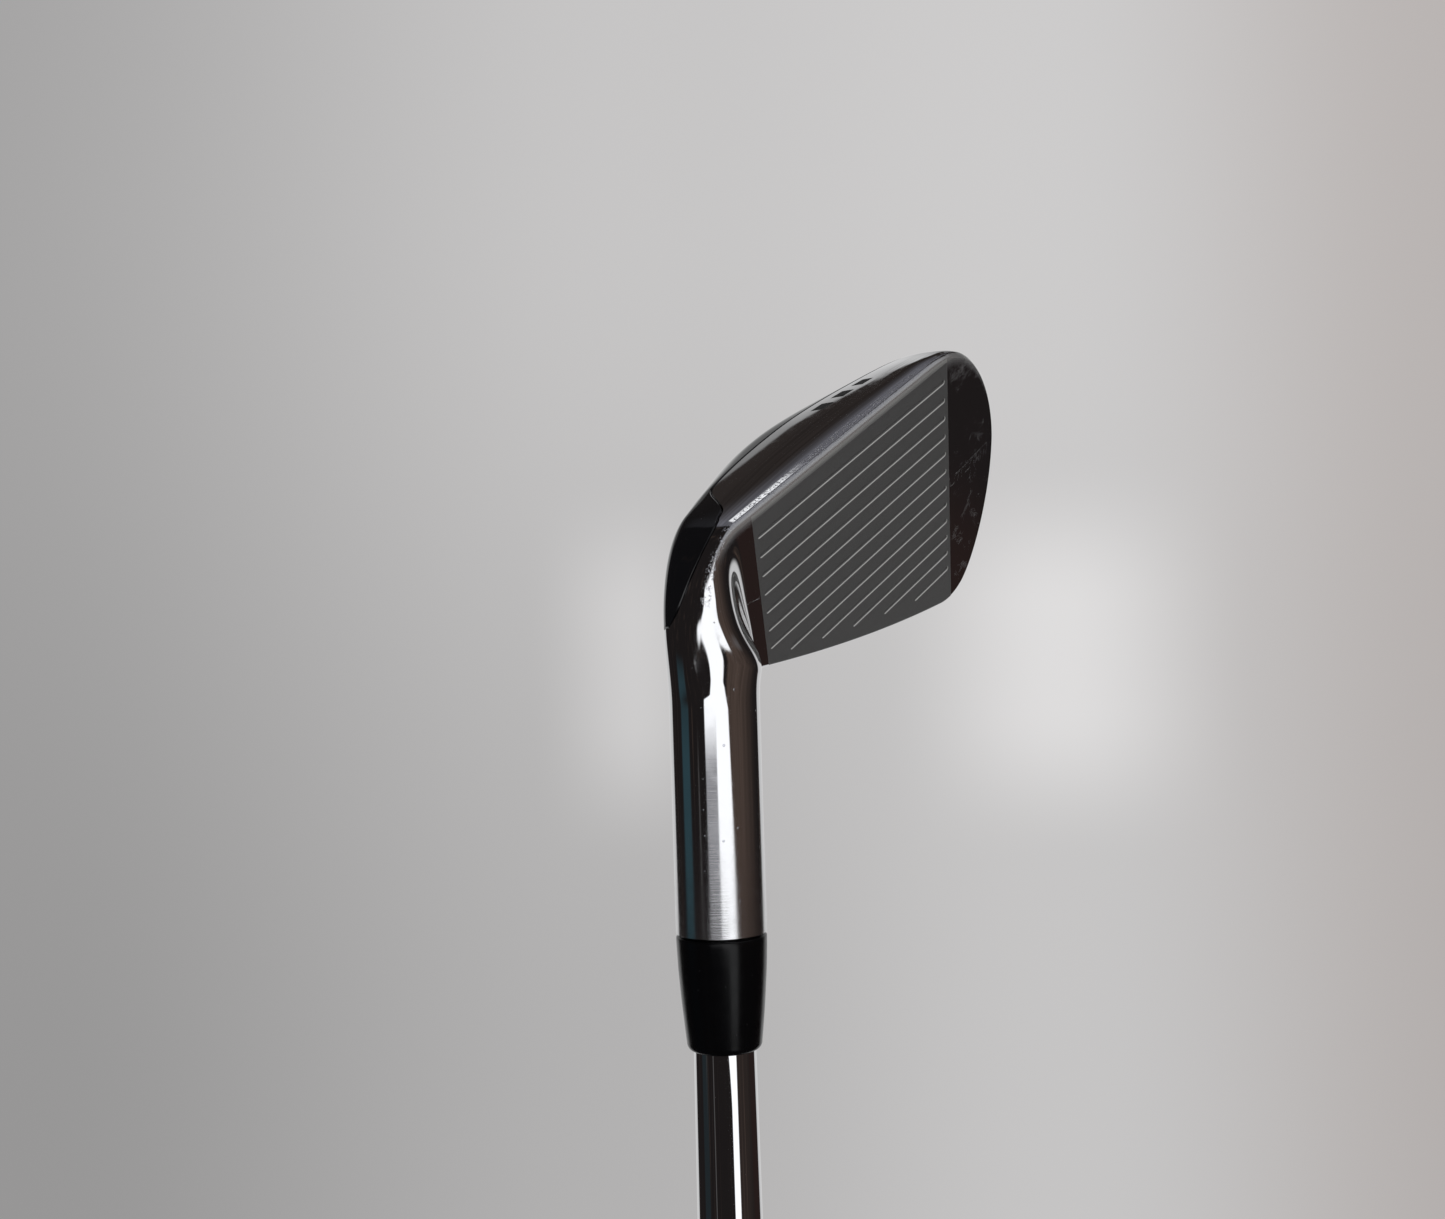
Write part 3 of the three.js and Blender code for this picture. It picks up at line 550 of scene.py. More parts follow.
def shell_pocket():
    """The recess that the rear shell lies in, with a chamfered rim."""
    start = SHELL_TOE - SEAM / millimetres_along(SHELL_TOE, 7)
    end = SHELL_NECK + SEAM / millimetres_along(SHELL_NECK, 9)
    stations = np.linspace(start, end, 200)
    top, sole, near, far = shell_edges(stations)
    shares = np.linspace(0, 1, SHELL_COLUMNS)

    def grid(grow, depth):
        low = (top - grow / near)[:, None]
        high = (sole + grow / far)[:, None]
        return under_skin(stations, low + (high - low) * shares, depth)[0]

    over = grid(SEAM + POCKET_CHAMFER + POCKET_OVER, -POCKET_OVER)
    rim = grid(SEAM, POCKET_CHAMFER)
    floor = grid(SEAM, SHELL_THICKNESS + SEAM)
    outer = np.concatenate([rim[:, :1], over, rim[:, -1:]], axis=1)
    inner = np.concatenate([floor[:, :1], floor, floor[:, -1:]], axis=1)
    inner[:, 0] = (rim[:, 0] + floor[:, 0]) / 2
    inner[:, -1] = (rim[:, -1] + floor[:, -1]) / 2
    return new_object("pocket", *slab_mesh(outer, inner))


BAR_HALF = 0.014
BAR_STATIONS = [(middle - BAR_HALF, middle + BAR_HALF) for middle in (0.55, 0.6, 0.65)]
BAR_AROUND = (9.35, 9.75)
FILL_DEPTH = 0.3
CUT_HEIGHT = 1.5  # how far a cutter stands out of the skin
BORE_MOUTH = 0.3  # chamfer at the mouth of the bore


def head_body():
    rows = surface(FINE_STATIONS, FINE_GRID)
    end = rows[-1].copy()
    rows[-1, :, 2] = HOSEL_END + HOSEL_CHAMFER
    end[:, :2] *= 1 - HOSEL_CHAMFER / HOSEL_RADIUS
    head = new_object("head_chrome", *tube_mesh(np.concatenate([rows, end[None]])))
    cut(head, shell_pocket())
    plate = outline_under_topline(PLATE_HEEL - JOINT, PLATE_TOE + JOINT, PLATE_BOTTOM - JOINT,
                                  PLATE_RIM - JOINT, 60)
    cut(head, face_prism("pocket", plate, -3, PLATE_THICKNESS + JOINT))
    window = outline_under_topline(WINDOW_HEEL, WINDOW_TOE, WINDOW_BOTTOM, WINDOW_RIM, 12)
    cut(head, face_prism("window", window, 1, 30))
    for stations in BAR_STATIONS:
        cut(head, surface_block(stations, BAR_AROUND, 0.1, FILL_DEPTH + 0.02, -CUT_HEIGHT, 24, 24))
    mouth = BORE_RADIUS + BORE_MOUTH
    bore = [[0.001, HOSEL_END - 1], [mouth, HOSEL_END - 1], [mouth, HOSEL_END],
            [BORE_RADIUS, HOSEL_END + BORE_MOUTH], [BORE_RADIUS, HOSEL_END + BORE_DEPTH],
            [0.001, HOSEL_END + BORE_DEPTH + 1.5]]
    cut(head, new_object("bore", *turned_mesh(bore)))
    lay_surface_data(head)
    return head


ON_SKIN = 2e-6  # metres


def lay_values(mesh, name, values):
    mesh.attributes.new(name, "FLOAT", "POINT").data.foreach_set("value", values)


def lay_surface_data(piece):
    """Gives the piece's skin the surface's true normals and its station and around places."""
    normals = surface_normals(FINE_STATIONS, FINE_GRID).reshape(-1, 3)
    rows, columns = FINE_GRID.shape
    places = np.where(FINE_GRID < 1, FINE_GRID + STRIPS, FINE_GRID).reshape(-1)
    stations = np.repeat(FINE_STATIONS, columns)
    quads = np.array(grid_faces(rows, columns))
    triangles = np.concatenate([quads[:, [0, 1, 2]], quads[:, [0, 2, 3]]])
    skin = surface(FINE_STATIONS, FINE_GRID).reshape(-1, 3) * MM
    tree = BVHTree.FromPolygons(skin.tolist(), triangles.tolist())
    mesh = piece.data
    count = len(mesh.vertices)
    skin_normal = np.zeros((count, 3))
    on_skin = np.zeros(count, bool)
    station = np.zeros(count, np.float32)
    around = np.zeros(count, np.float32)
    for index, vertex in enumerate(mesh.vertices):
        spot, _, face, distance = tree.find_nearest(vertex.co)
        corners = triangles[face]
        weights = barycentric(np.array(spot), *skin[corners])
        place = places[corners]
        if place.max() - place.min() > STRIPS / 2:
            place = np.where(place < 3, place + STRIPS, place)
        station[index] = weights @ stations[corners]
        around[index] = weights @ place
        skin_normal[index] = weights @ normals[corners]
        on_skin[index] = distance < ON_SKIN
    lay_values(mesh, "station", station)
    lay_values(mesh, "around", around)
    set_skin_normals(mesh, skin_normal, on_skin)


def barycentric(p, a, b, c):
    first, second, offset = b - a, c - a, p - a
    d00, d01, d11 = first @ first, first @ second, second @ second
    d20, d21 = offset @ first, offset @ second
    scale = d00 * d11 - d01 * d01
    if abs(scale) < 1e-30:
        return np.array([1.0, 0, 0])
    v = (d11 * d20 - d01 * d21) / scale
    w = (d00 * d21 - d01 * d20) / scale
    return np.array([1 - v - w, v, w])


def set_skin_normals(mesh, skin_normal, on_skin):
    loops = np.zeros(len(mesh.loops), int)
    mesh.loops.foreach_get("vertex_index", loops)
    face_normal = np.zeros(len(mesh.polygons) * 3)
    mesh.polygons.foreach_get("normal", face_normal)
    totals = np.zeros(len(mesh.polygons), int)
    mesh.polygons.foreach_get("loop_total", totals)
    face_normal = np.repeat(face_normal.reshape(-1, 3), totals, axis=0)
    wanted = skin_normal[loops]
    size = np.linalg.norm(wanted, axis=1, keepdims=True)
    wanted = wanted / np.maximum(size, 1e-9)
    agrees = (wanted * face_normal).sum(axis=1) > math.cos(math.radians(35))
    result = np.where((agrees & on_skin[loops])[:, None], wanted, face_normal)
    mesh.normals_split_custom_set(result.tolist())


def stadium(v, heel, toe, half, w, arcs=8):
    """A score line's outline at a depth, with round ends."""
    ring = []
    for centre, start in ((toe - half, -math.pi / 2), (heel + half, math.pi / 2)):
        for step in range(arcs + 1):
            angle = start + math.pi * step / arcs
            ring.append(face_point((centre + half * math.cos(angle), v + half * math.sin(angle), w)))
    return ring


def score_line(index):
    short = index - FULL_SCORE_LINES
    heel = 0.0 if short < 0 else SHORT_SCORE_STARTS[short]
    v = index * SCORE_PITCH
    half, floor = SCORE_WIDTH / 2, SCORE_FLOOR / 2
    levels = [(half + 0.1, -0.1), (half, 0.03), (floor + 0.05, SCORE_DEPTH - 0.04), (floor, SCORE_DEPTH)]
    rings = [stadium(v, heel, SCORE_LENGTH, size, depth) for size, depth in levels]
    return new_object("score", *tube_mesh(np.array(rings)))


def face_plate():
    corners = outline_under_topline(PLATE_HEEL, PLATE_TOE, PLATE_BOTTOM, PLATE_RIM, 60)
    plate = face_prism("face_plate_milled", corners, 0, PLATE_THICKNESS)
    for index in range(FULL_SCORE_LINES + len(SHORT_SCORE_STARTS)):
        cut(plate, score_line(index))
    plate.data.set_sharp_from_angle(angle=math.radians(30))
    return plate


def badge():
    plate = surface_block(BADGE_STATIONS, BADGE_AROUND, 0, BADGE_THICKNESS, 0)
    bevel = plate.modifiers.new("edge", "BEVEL")
    bevel.width = 0.15 * MM
    bevel.segments = 3
    apply_modifiers(plate)
    plate.name = "badge_plate"
    return plate


def sole_bar(index):
    bar = surface_block(BAR_STATIONS[index], BAR_AROUND, 0, FILL_DEPTH, 0.0, 24, 24)
    bar.name = f"sole_paint_{index + 1}"
    return bar


# ---- shaft, ferrule and grip
def shaft_radius(z):
    step = np.ceil((np.asarray(z, float) - FIRST_STEP) / STEP_PITCH)
    drop = (SHAFT_BUTT_RADIUS - SHAFT_BODY_RADIUS) / STEP_COUNT
    return SHAFT_BUTT_RADIUS - drop * np.clip(step, 0, STEP_COUNT)


SHAFT_BOTTOM = CAP_THICKNESS + 0.4
SHAFT_TOP = HOSEL_END + BORE_DEPTH - 0.6


def shaft_tube():
    outside = [[SHAFT_BUTT_RADIUS, SHAFT_BOTTOM]]
    for step in range(STEP_COUNT):
        z = FIRST_STEP + step * STEP_PITCH
        before, after = float(shaft_radius(z - 1)), float(shaft_radius(z + 1))
        for share in np.linspace(0, 1, 7):
            outside.append([before + (after - before) * ease(share), z - 0.4 + 1.2 * share])
    outside += [[SHAFT_BODY_RADIUS, FERRULE_END - 28], [SHAFT_TIP_RADIUS, FERRULE_END + 2]]
    outside.append([SHAFT_TIP_RADIUS, SHAFT_TOP])
    inside = [[radius - SHAFT_WALL, z] for radius, z in reversed(outside)]
    return new_object("shaft_chrome", *turned_mesh(outside + inside))


FERRULE_ROUND = 0.3
FERRULE_FOOT = (4.85, 1.0)  # inner radius and height of the rounded foot
FERRULE_FOOT_RADIUS = 5.5


def ferrule_ring():
    top = HOSEL_END - 0.05
    inner = SHAFT_TIP_RADIUS + 0.08
    foot_inner, foot_height = FERRULE_FOOT
    side_top = top - FERRULE_ROUND
    side_foot = FERRULE_END + foot_height
    profile = [[inner, top], [HOSEL_RADIUS - 0.35, top]]
    profile += quarter_turn((HOSEL_RADIUS - FERRULE_ROUND, side_top), (FERRULE_ROUND, FERRULE_ROUND), 6)
    for share in np.linspace(0, 1, 24)[1:]:
        radius = HOSEL_RADIUS + (FERRULE_FOOT_RADIUS - HOSEL_RADIUS) * share**1.5
        profile.append([radius, side_top + (side_foot - side_top) * share])
    reach = (FERRULE_FOOT_RADIUS - foot_inner, -foot_height)
    profile += quarter_turn((foot_inner, side_foot), reach, 7)[-2::-1]
    profile.append([inner, FERRULE_END])
    return new_object("ferrule_turned", *turned_mesh(profile))


def grip_radius(z):
    share = np.clip((z - 12) / (GRIP_LENGTH - 1.2 - 12), 0, 1)
    return GRIP_BUTT_RADIUS + (GRIP_MOUTH_RADIUS - GRIP_BUTT_RADIUS) * share**0.8


TAPE_RADIUS = SHAFT_BUTT_RADIUS + 0.25
GRIP_BORE = TAPE_RADIUS + 0.05
GRIP_BOTTOM = CAP_THICKNESS + 0.3
GRIP_TOP = GRIP_LENGTH - 0.8
GRIP_ROWS = 620
GRIP_COLUMNS = 288
GRIP_TURNS = 26
GRIP_GROOVE = 0.45
GRIP_RISE = 7.2  # height of one diamond
GRIP_RING_PITCH = 3.0
GRIP_RINGS = [(20, 26), (128, 134), (240, 262)]


def groove(phase, width):
    """1 in the middle of a groove and 0 away from it; phase counts grooves."""
    offset = np.abs(phase - np.round(phase)) / width
    return np.clip(1 - offset, 0, 1) ** 0.7


def grip_sleeve():
    heights = np.linspace(GRIP_BOTTOM, GRIP_TOP, GRIP_ROWS)
    angles = np.arange(GRIP_COLUMNS) * 2 * math.pi / GRIP_COLUMNS
    z, angle = np.meshgrid(heights, angles, indexing="ij")
    turn = angle / (2 * math.pi)
    rise = z / GRIP_RISE
    cross = np.maximum(groove(turn * GRIP_TURNS + rise, 0.2), groove(turn * GRIP_TURNS - rise, 0.2))
    plain = np.zeros_like(z)
    rings = np.zeros_like(z)
    for low, high in GRIP_RINGS:
        inside = np.clip(np.minimum(z - low + 1, high + 1 - z), 0, 1)
        plain = np.maximum(plain, inside)
        rings = np.maximum(rings, inside * groove((z - low) / GRIP_RING_PITCH, 0.16))
    ends = np.clip(np.minimum(z - GRIP_BOTTOM - 3, GRIP_LENGTH - 6 - z), 0, 1)
    depth = GRIP_GROOVE * (cross * (1 - plain) * ends + rings)
    mouth = np.clip((z - (GRIP_LENGTH - 2.2)) / 1.4, 0, 1)
    radius = grip_radius(z) - depth - 0.9 * mouth**2
    outer = np.stack([radius * np.cos(angle), radius * np.sin(angle), z], -1)
    bore = outer[[-1, 0]]
    bore[..., 0] = GRIP_BORE * np.cos(angles)
    bore[..., 1] = GRIP_BORE * np.sin(angles)
    rows = np.concatenate([outer, bore])
    faces = grid_faces(*rows.shape[:2], looped=True)
    grip = new_object("grip_moulded", rows.reshape(-1, 3), faces, 80)
    carved = np.zeros(rows.shape[:2], np.float32)
    carved[:-2] = depth / GRIP_GROOVE
    lay_values(grip.data, "groove", carved.reshape(-1))
    return grip


CAP_ROUND = 1.4


def grip_cap():
    profile = [[VENT_RADIUS, 0.25], [VENT_RADIUS + 0.25, 0]]
    for radius in (5.0, 7.5, 10.0):
        profile += [[radius - 0.35, 0], [radius - 0.15, 0.3], [radius + 0.15, 0.3], [radius + 0.35, 0]]
    profile += quarter_turn((GRIP_BUTT_RADIUS - CAP_ROUND, CAP_ROUND), (CAP_ROUND, -CAP_ROUND), 8)
    profile += [[GRIP_BUTT_RADIUS, CAP_THICKNESS - 0.3], [GRIP_BUTT_RADIUS - 0.3, CAP_THICKNESS],
                [VENT_RADIUS, CAP_THICKNESS]]
    return new_object("grip_cap_turned", *turned_mesh(profile))


# ---- node helpers
class Net:
    """Short ways to add and join nodes in one node tree."""

    def __init__(self, owner):
        owner.use_nodes = True
        self.owner = owner
        self.tree = owner.node_tree
        self.tree.nodes.clear()

    def add(self, kind, sockets=None, **settings):
        node = self.tree.nodes.new("ShaderNode" + kind)
        for name, value in settings.items():
            setattr(node, name, value)
        for name, value in (sockets or {}).items():
            self.feed(node.inputs[name], value)
        return node

    def feed(self, socket, value):
        if isinstance(value, bpy.types.NodeSocket):
            self.tree.links.new(value, socket)
        elif socket.type == "RGBA":
            socket.default_value = (*value, 1.0)
        else:
            socket.default_value = value

    def math(self, operation, *values):
        sockets = dict(enumerate(values))
        return self.add("Math", sockets, operation=operation).outputs[0]

    def product(self, *values):
        return reduce(partial(self.math, "MULTIPLY"), values)

    def largest(self, *values):
        return reduce(partial(self.math, "MAXIMUM"), values)

    def dot(self, vector, direction):
        sockets = {0: vector, 1: tuple(float(part) for part in direction)}
        return self.add("VectorMath", sockets, operation="DOT_PRODUCT").outputs["Value"]

    def scaled(self, vector, factors):
        sockets = {0: vector, 1: tuple(factors)}
        return self.add("VectorMath", sockets, operation="MULTIPLY").outputs[0]

    def vector(self, x, y, z):
        return self.add("CombineXYZ", {0: x, 1: y, 2: z}).outputs[0]

    def rise(self, value, low=0.3, high=0.7, start=0.0, end=1.0):
        """From start to end, smoothly, as the value goes from low to high."""
        sockets = {"Value": value, "From Min": low, "From Max": high, "To Min": start, "To Max": end}
        return self.add("MapRange", sockets, interpolation_type="SMOOTHSTEP").outputs[0]

    def fall(self, value, low, high):
        """From 1 to 0, smoothly, as the value goes from low to high."""
        return self.rise(value, low, high, 1.0, 0.0)

    def window(self, value, low, high, soft):
        """1 between low and high and 0 outside."""
        start = self.rise(value, low - soft, low + soft)
        return self.product(start, self.fall(value, high - soft, high + soft))

    def above(self, value, limit, soft):
        """1 where the value is above the limit."""
        return self.rise(self.math("SUBTRACT", value, limit), -soft, soft)

    def mix(self, factor, first, second):
        sockets = {0: factor, 6: first, 7: second}
        return self.add("Mix", sockets, data_type="RGBA").outputs[2]

    def blend(self, factor, first, second):
        """A number between two others."""
        sockets = {0: factor, 2: first, 3: second}
        return self.add("Mix", sockets, data_type="FLOAT").outputs[0]

    def noise(self, vector, scale, detail=3.0, roughness=0.5):
        sockets = {"Vector": vector, "Scale": scale, "Detail": detail, "Roughness": roughness}
        return self.add("TexNoise", sockets).outputs[0]

    def specks(self, vector, scale, size, share):
        """1 in small round specks, one in a share of the cells."""
        cells = self.add("TexVoronoi", {"Vector": vector, "Scale": scale})
        near = self.fall(cells.outputs["Distance"], size * 0.6, size)
        chosen = self.add("SeparateXYZ", {0: cells.outputs["Color"]}).outputs[0]
        return self.math("MULTIPLY", near, self.math("LESS_THAN", chosen, share))

    def bump(self, height, distance, strength=1.0, normal=None):
        sockets = {"Height": height, "Distance": distance, "Strength": strength}
        if normal is not None:
            sockets["Normal"] = normal
        return self.add("Bump", sockets).outputs[0]

    def attribute(self, name):
        return self.add("Attribute", attribute_name=name).outputs["Fac"]


def new_material(name):
    """The nodes of a new material, and the object coordinate in mm."""
    net = Net(bpy.data.materials.new(name))
    place = net.add("TexCoord").outputs["Object"]
    return net, net.scaled(place, (1000.0, 1000.0, 1000.0))


def finish_material(net, colour, roughness, **others):
    """Feeds the shader's sockets, and returns the material."""
    sockets = {"Base Color": colour, "Roughness": roughness}
    sockets |= {"IOR" if name == "ior" else name.title(): value for name, value in others.items()}
    shader = net.add("BsdfPrincipled", sockets)
    net.add("OutputMaterial", {"Surface": shader.outputs[0]})
    return net.owner


def shade(colour, factor):
    return tuple(part * factor for part in colour)


# ---- metal materials
CHROME = (0.66, 0.66, 0.67)
BLASTED = (0.175, 0.175, 0.172)
BLASTED_METAL = 0.6
# light grey for the painted highlights on the score lines and on the leading edge's rubbed strip, and for
# scuffs on the toe
HIGHLIGHT_AND_WEAR_GREY = (0.72, 0.72, 0.69)
# bluish light grey of dents and nicks; in the dents it is a painted glint
WEAR_AND_GLINT_BLUE = (0.62, 0.64, 0.72)


def face_places(net, place):
    """The face's u and w coordinates of a point in mm."""
    offset = net.add("VectorMath", {0: place, 1: tuple(FACE_ORIGIN)}, operation="SUBTRACT")
    return [net.dot(offset.outputs[0], axis) for axis in (ALONG_U, ALONG_W)]


def blasted_skin(net, place):
    """The grain of the blasted steel and its mottled grey."""
    grain = net.noise(place, 9.0, 4.0, 0.7)
    return grain, net.mix(net.rise(grain), shade(BLASTED, 0.8), shade(BLASTED, 1.2))


def head_material():
    net, place = new_material("polished_steel")
    u, w = face_places(net, place)
    station = net.attribute("station")
    around = net.attribute("around")
    height = net.add("SeparateXYZ", {0: place}).outputs[2]

    flat = net.fall(w, 0.05, 0.14)
    blasted = net.product(net.window(u, PLATE_HEEL, PLATE_TOE, 0.04), flat)
    grain, blasted_grey = blasted_skin(net, place)

    along_edge = net.window(station, 0.12, 1.75, 0.12)
    towards_heel = net.rise(station, 0.3, 1.0, 0.35, 1.0)
    cloud = net.rise(net.noise(place, 0.7, 3.0), 0.36, 0.56)
    grit = net.rise(net.noise(place, 2.6, 5.0, 0.75), 0.53, 0.62)
    ridge = net.math("SUBTRACT", around, net.rise(station, 1.0, 1.2, 0.0, 0.45))
    dented = net.product(net.window(ridge, 11.45, 12.35, 0.22), net.fall(station, 1.3, 1.5))
    # real dents along the leading edge with painted glints: their bluish light grey, less metallic, stands
    # for sparkles of light in them
    dings_and_glints = net.product(dented, along_edge, towards_heel, grit, cloud)
    # the leading edge's radius: rubbed wear, duller and less metallic, with a painted highlight in its
    # lighter grey
    rubbed_and_highlit = net.product(net.window(around, 12.35, 13.02, 0.07), along_edge, net.fall(station, 1.05, 1.3))
    scuffs = net.product(net.rise(u, 52.9, 54.5), flat,
                           net.rise(net.noise(place, 0.22, 8.0, 0.7), 0.54, 0.7))
    nicks = net.product(net.specks(place, 0.5, 0.09, 0.35), net.window(station, 1.2, 2.9, 0.1))
    on_sole = net.product(net.window(around, 9.8, 11.9, 0.25), net.window(station, 0.3, 1.15, 0.1))
    rows = net.vector(net.product(around, 7.0), net.product(station, 2.5), 0.0)
    painted_reflection_streaks = net.rise(net.noise(rows, 1.0, 4.0, 0.6), 0.35, 0.65, 0.45, 1.0)

    # painted reflection: the sole's chrome is darkened in streaks along the blade that stand for its
    # streaky dark reflection
    colour = net.mix(on_sole, CHROME, net.mix(painted_reflection_streaks, shade(CHROME, 0.45), CHROME))
    colour = net.mix(blasted, colour, blasted_grey)
    colour = net.mix(net.product(rubbed_and_highlit, 0.45), colour, HIGHLIGHT_AND_WEAR_GREY)
    colour = net.mix(net.largest(dings_and_glints, net.product(nicks, 0.7)), colour, WEAR_AND_GLINT_BLUE)
    colour = net.mix(net.product(scuffs, 0.3), colour, HIGHLIGHT_AND_WEAR_GREY)

    brushed = net.fall(height, HOSEL_END - 5, HOSEL_END + 30)
    turned = net.noise(net.scaled(place, (0.12, 0.12, 7.0)), 1.0, 3.0, 0.6)
    smears = net.noise(place, 0.5, 6.0, 0.6)
    polish = net.blend(brushed, 0.04, 0.2)
    polish = net.math("ADD", polish, net.rise(smears, 0.4, 0.7, 0.0, 0.05))
    rough = net.blend(blasted, polish, 0.48)
    metal = net.blend(blasted, 1.0, BLASTED_METAL)
    faint_scuffs = net.product(scuffs, 0.4)
    for mark, roughness, dulled in ((rubbed_and_highlit, 0.26, 0.25), (dings_and_glints, 0.35, 0.6), (faint_scuffs, 0.3, 0.375)):
        rough = net.blend(mark, rough, roughness)
        metal = net.math("SUBTRACT", metal, net.product(mark, dulled))

    lines = net.bump(turned, 0.00002, net.blend(brushed, 0.0, 0.7))
    sand = net.bump(grain, 0.00003, net.product(blasted, 0.6), lines)
    marked = net.bump(net.largest(dings_and_glints, nicks), 0.00004, 0.6, sand)
    return finish_material(net, colour, rough, metallic=metal, normal=marked)


def plate_material():
    net, place = new_material("blasted_steel")
    w = face_places(net, place)[1]
    patches = net.noise(place, 0.09, 3.0)
    grain, colour = blasted_skin(net, place)
    # painted highlight: the upper walls of the score lines are painted light grey and non-metallic to
    # stand for their lit edges
    painted_groove_highlight = net.window(w, 0.035, 0.2, 0.02)
    colour = net.mix(painted_groove_highlight, colour, HIGHLIGHT_AND_WEAR_GREY)
    rough = net.blend(painted_groove_highlight, net.rise(patches, 0.3, 0.7, 0.45, 0.52), 0.42)
    metal = net.blend(painted_groove_highlight, BLASTED_METAL, 0.0)
    sand = net.bump(grain, 0.00003, net.blend(painted_groove_highlight, 0.6, 0.1))
    return finish_material(net, colour, rough, metallic=metal, normal=sand)


def shell_material():
    net, place = new_material("gloss_black")
    dust = net.specks(place, 0.9, 0.09, 0.2)
    haze = net.noise(place, 0.12, 4.0)
    colour = net.mix(net.product(dust, 0.5), (0.006, 0.006, 0.007), (0.16, 0.16, 0.16))
    rough = net.math("ADD", net.rise(haze, 0.35, 0.7, 0.03, 0.07), net.product(dust, 0.3))
    return finish_material(net, colour, rough, ior=1.45)


def ferrule_material():
    net, place = new_material("ferrule_black")
    turned = net.noise(net.scaled(place, (0.1, 0.1, 6.0)), 1.0, 3.0)
    dust = net.specks(place, 1.3, 0.1, 0.15)
    colour = net.mix(net.product(dust, 0.4), (0.002, 0.002, 0.0026), (0.12, 0.12, 0.12))
    rough = net.rise(net.noise(place, 0.3, 3.0), 0.3, 0.7, 0.2, 0.27)
    lines = net.bump(turned, 0.000008, 0.4)
    return finish_material(net, colour, rough, ior=1.3, normal=lines)


def shaft_material():
    net, place = new_material("shaft_chrome")
    smear = net.noise(net.scaled(place, (1.0, 1.0, 0.05)), 0.6, 4.0)
    nicks = net.specks(place, 0.4, 0.07, 0.2)
    colour = net.mix(net.product(nicks, 0.5), (0.70, 0.70, 0.71), (0.4, 0.4, 0.4))
    rough = net.math("ADD", net.rise(smear, 0.4, 0.75, 0.02, 0.06), net.product(nicks, 0.2))
    return finish_material(net, colour, rough, metallic=1.0)


# ---- other materials
def grained_material(name, dark, light, rough, scale, depth, metallic=0.0):
    """A plain solid colour with a mottled tone, an uneven gloss and a fine grain."""
    net, place = new_material(name)
    tone = net.noise(place, scale * 0.2, 4.0)
    grain = net.noise(place, scale, 4.0, 0.6)
    colour = net.mix(net.rise(tone), dark, light)
    gloss = net.rise(grain, 0.3, 0.7, rough - 0.06, rough + 0.06)
    normal = net.bump(grain, depth * MM, 0.6)
    return finish_material(net, colour, gloss, metallic=metallic, normal=normal)


def grip_material():
    net, place = new_material("grip_rubber")
    groove = net.rise(net.attribute("groove"), 0.1, 0.7)
    grain = net.noise(place, 5.0, 4.0, 0.65)
    worn = net.rise(net.noise(net.scaled(place, (1.0, 1.0, 0.4)), 0.08, 4.0), 0.4, 0.7)
    dust = net.rise(net.noise(place, 1.6, 6.0, 0.7), 0.58, 0.75)
    colour = net.mix(worn, (0.024, 0.024, 0.025), (0.036, 0.036, 0.037))
    # painted shade: the grip's grooves are painted near black
    colour = net.mix(groove, colour, (0.005, 0.005, 0.005))
    colour = net.mix(net.product(dust, 0.3), colour, (0.08, 0.078, 0.074))
    rough = net.blend(worn, 0.66, 0.5)
    normal = net.bump(grain, 0.00008, 0.5)
    return finish_material(net, colour, rough, normal=normal)


BAND_LOW = 286.0
BAND_HIGH = 318.0
BAND_STRIPE = 2.0  # width of each stripe and of the gap outside it


def band_material():
    """A satin film with a darker stripe near each end and fine rings between them."""
    net, place = new_material("band_film")
    height = net.add("SeparateXYZ", {0: place}).outputs[2]
    stripes = [(low, low + BAND_STRIPE) for low in (BAND_LOW + BAND_STRIPE, BAND_HIGH - 2 * BAND_STRIPE)]
    ends = net.largest(*[net.window(height, low, high, 0.05) for low, high in stripes])
    tone = net.noise(place, 0.5, 4.0)
    colour = net.mix(net.rise(tone), (0.38, 0.39, 0.41), (0.46, 0.47, 0.49))
    colour = net.mix(ends, colour, (0.03, 0.03, 0.035))
    brushed = net.noise(net.scaled(place, (0.2, 0.2, 8.0)), 1.0, 3.0)
    rough = net.rise(brushed, 0.3, 0.7, 0.26, 0.4)
    normal = net.bump(brushed, 0.00001, 0.3)
    return finish_material(net, colour, rough, metallic=0.8, normal=normal)


# ---- studio
TOWARDS_SCENE = Vector((math.sin(CAMERA_AZIMUTH), math.cos(CAMERA_AZIMUTH), 0))
TO_THE_RIGHT = Vector((math.cos(CAMERA_AZIMUTH), -math.sin(CAMERA_AZIMUTH), 0))
DARK = (0.016, 0.0135, 0.0135)
BROWN = (0.105, 0.075, 0.062)
DUSK = (0.026, 0.0165, 0.0150)
TEAL = (0.032, 0.068, 0.084)
SOFFIT = (0.034, 0.028, 0.026)
CEILING = (0.18, 0.18, 0.205)
WALL = (0.72, 0.72, 0.72)
STRIP = (1.50, 1.52, 1.55)
SIDE_GREY = (0.32, 0.32, 0.34)
UPPER_GREY = (0.33, 0.335, 0.36)
DOME = (0.60, 0.60, 0.61)
STRIP_SOFT = 1.5  # degrees
FAR_LEVEL = 0.54


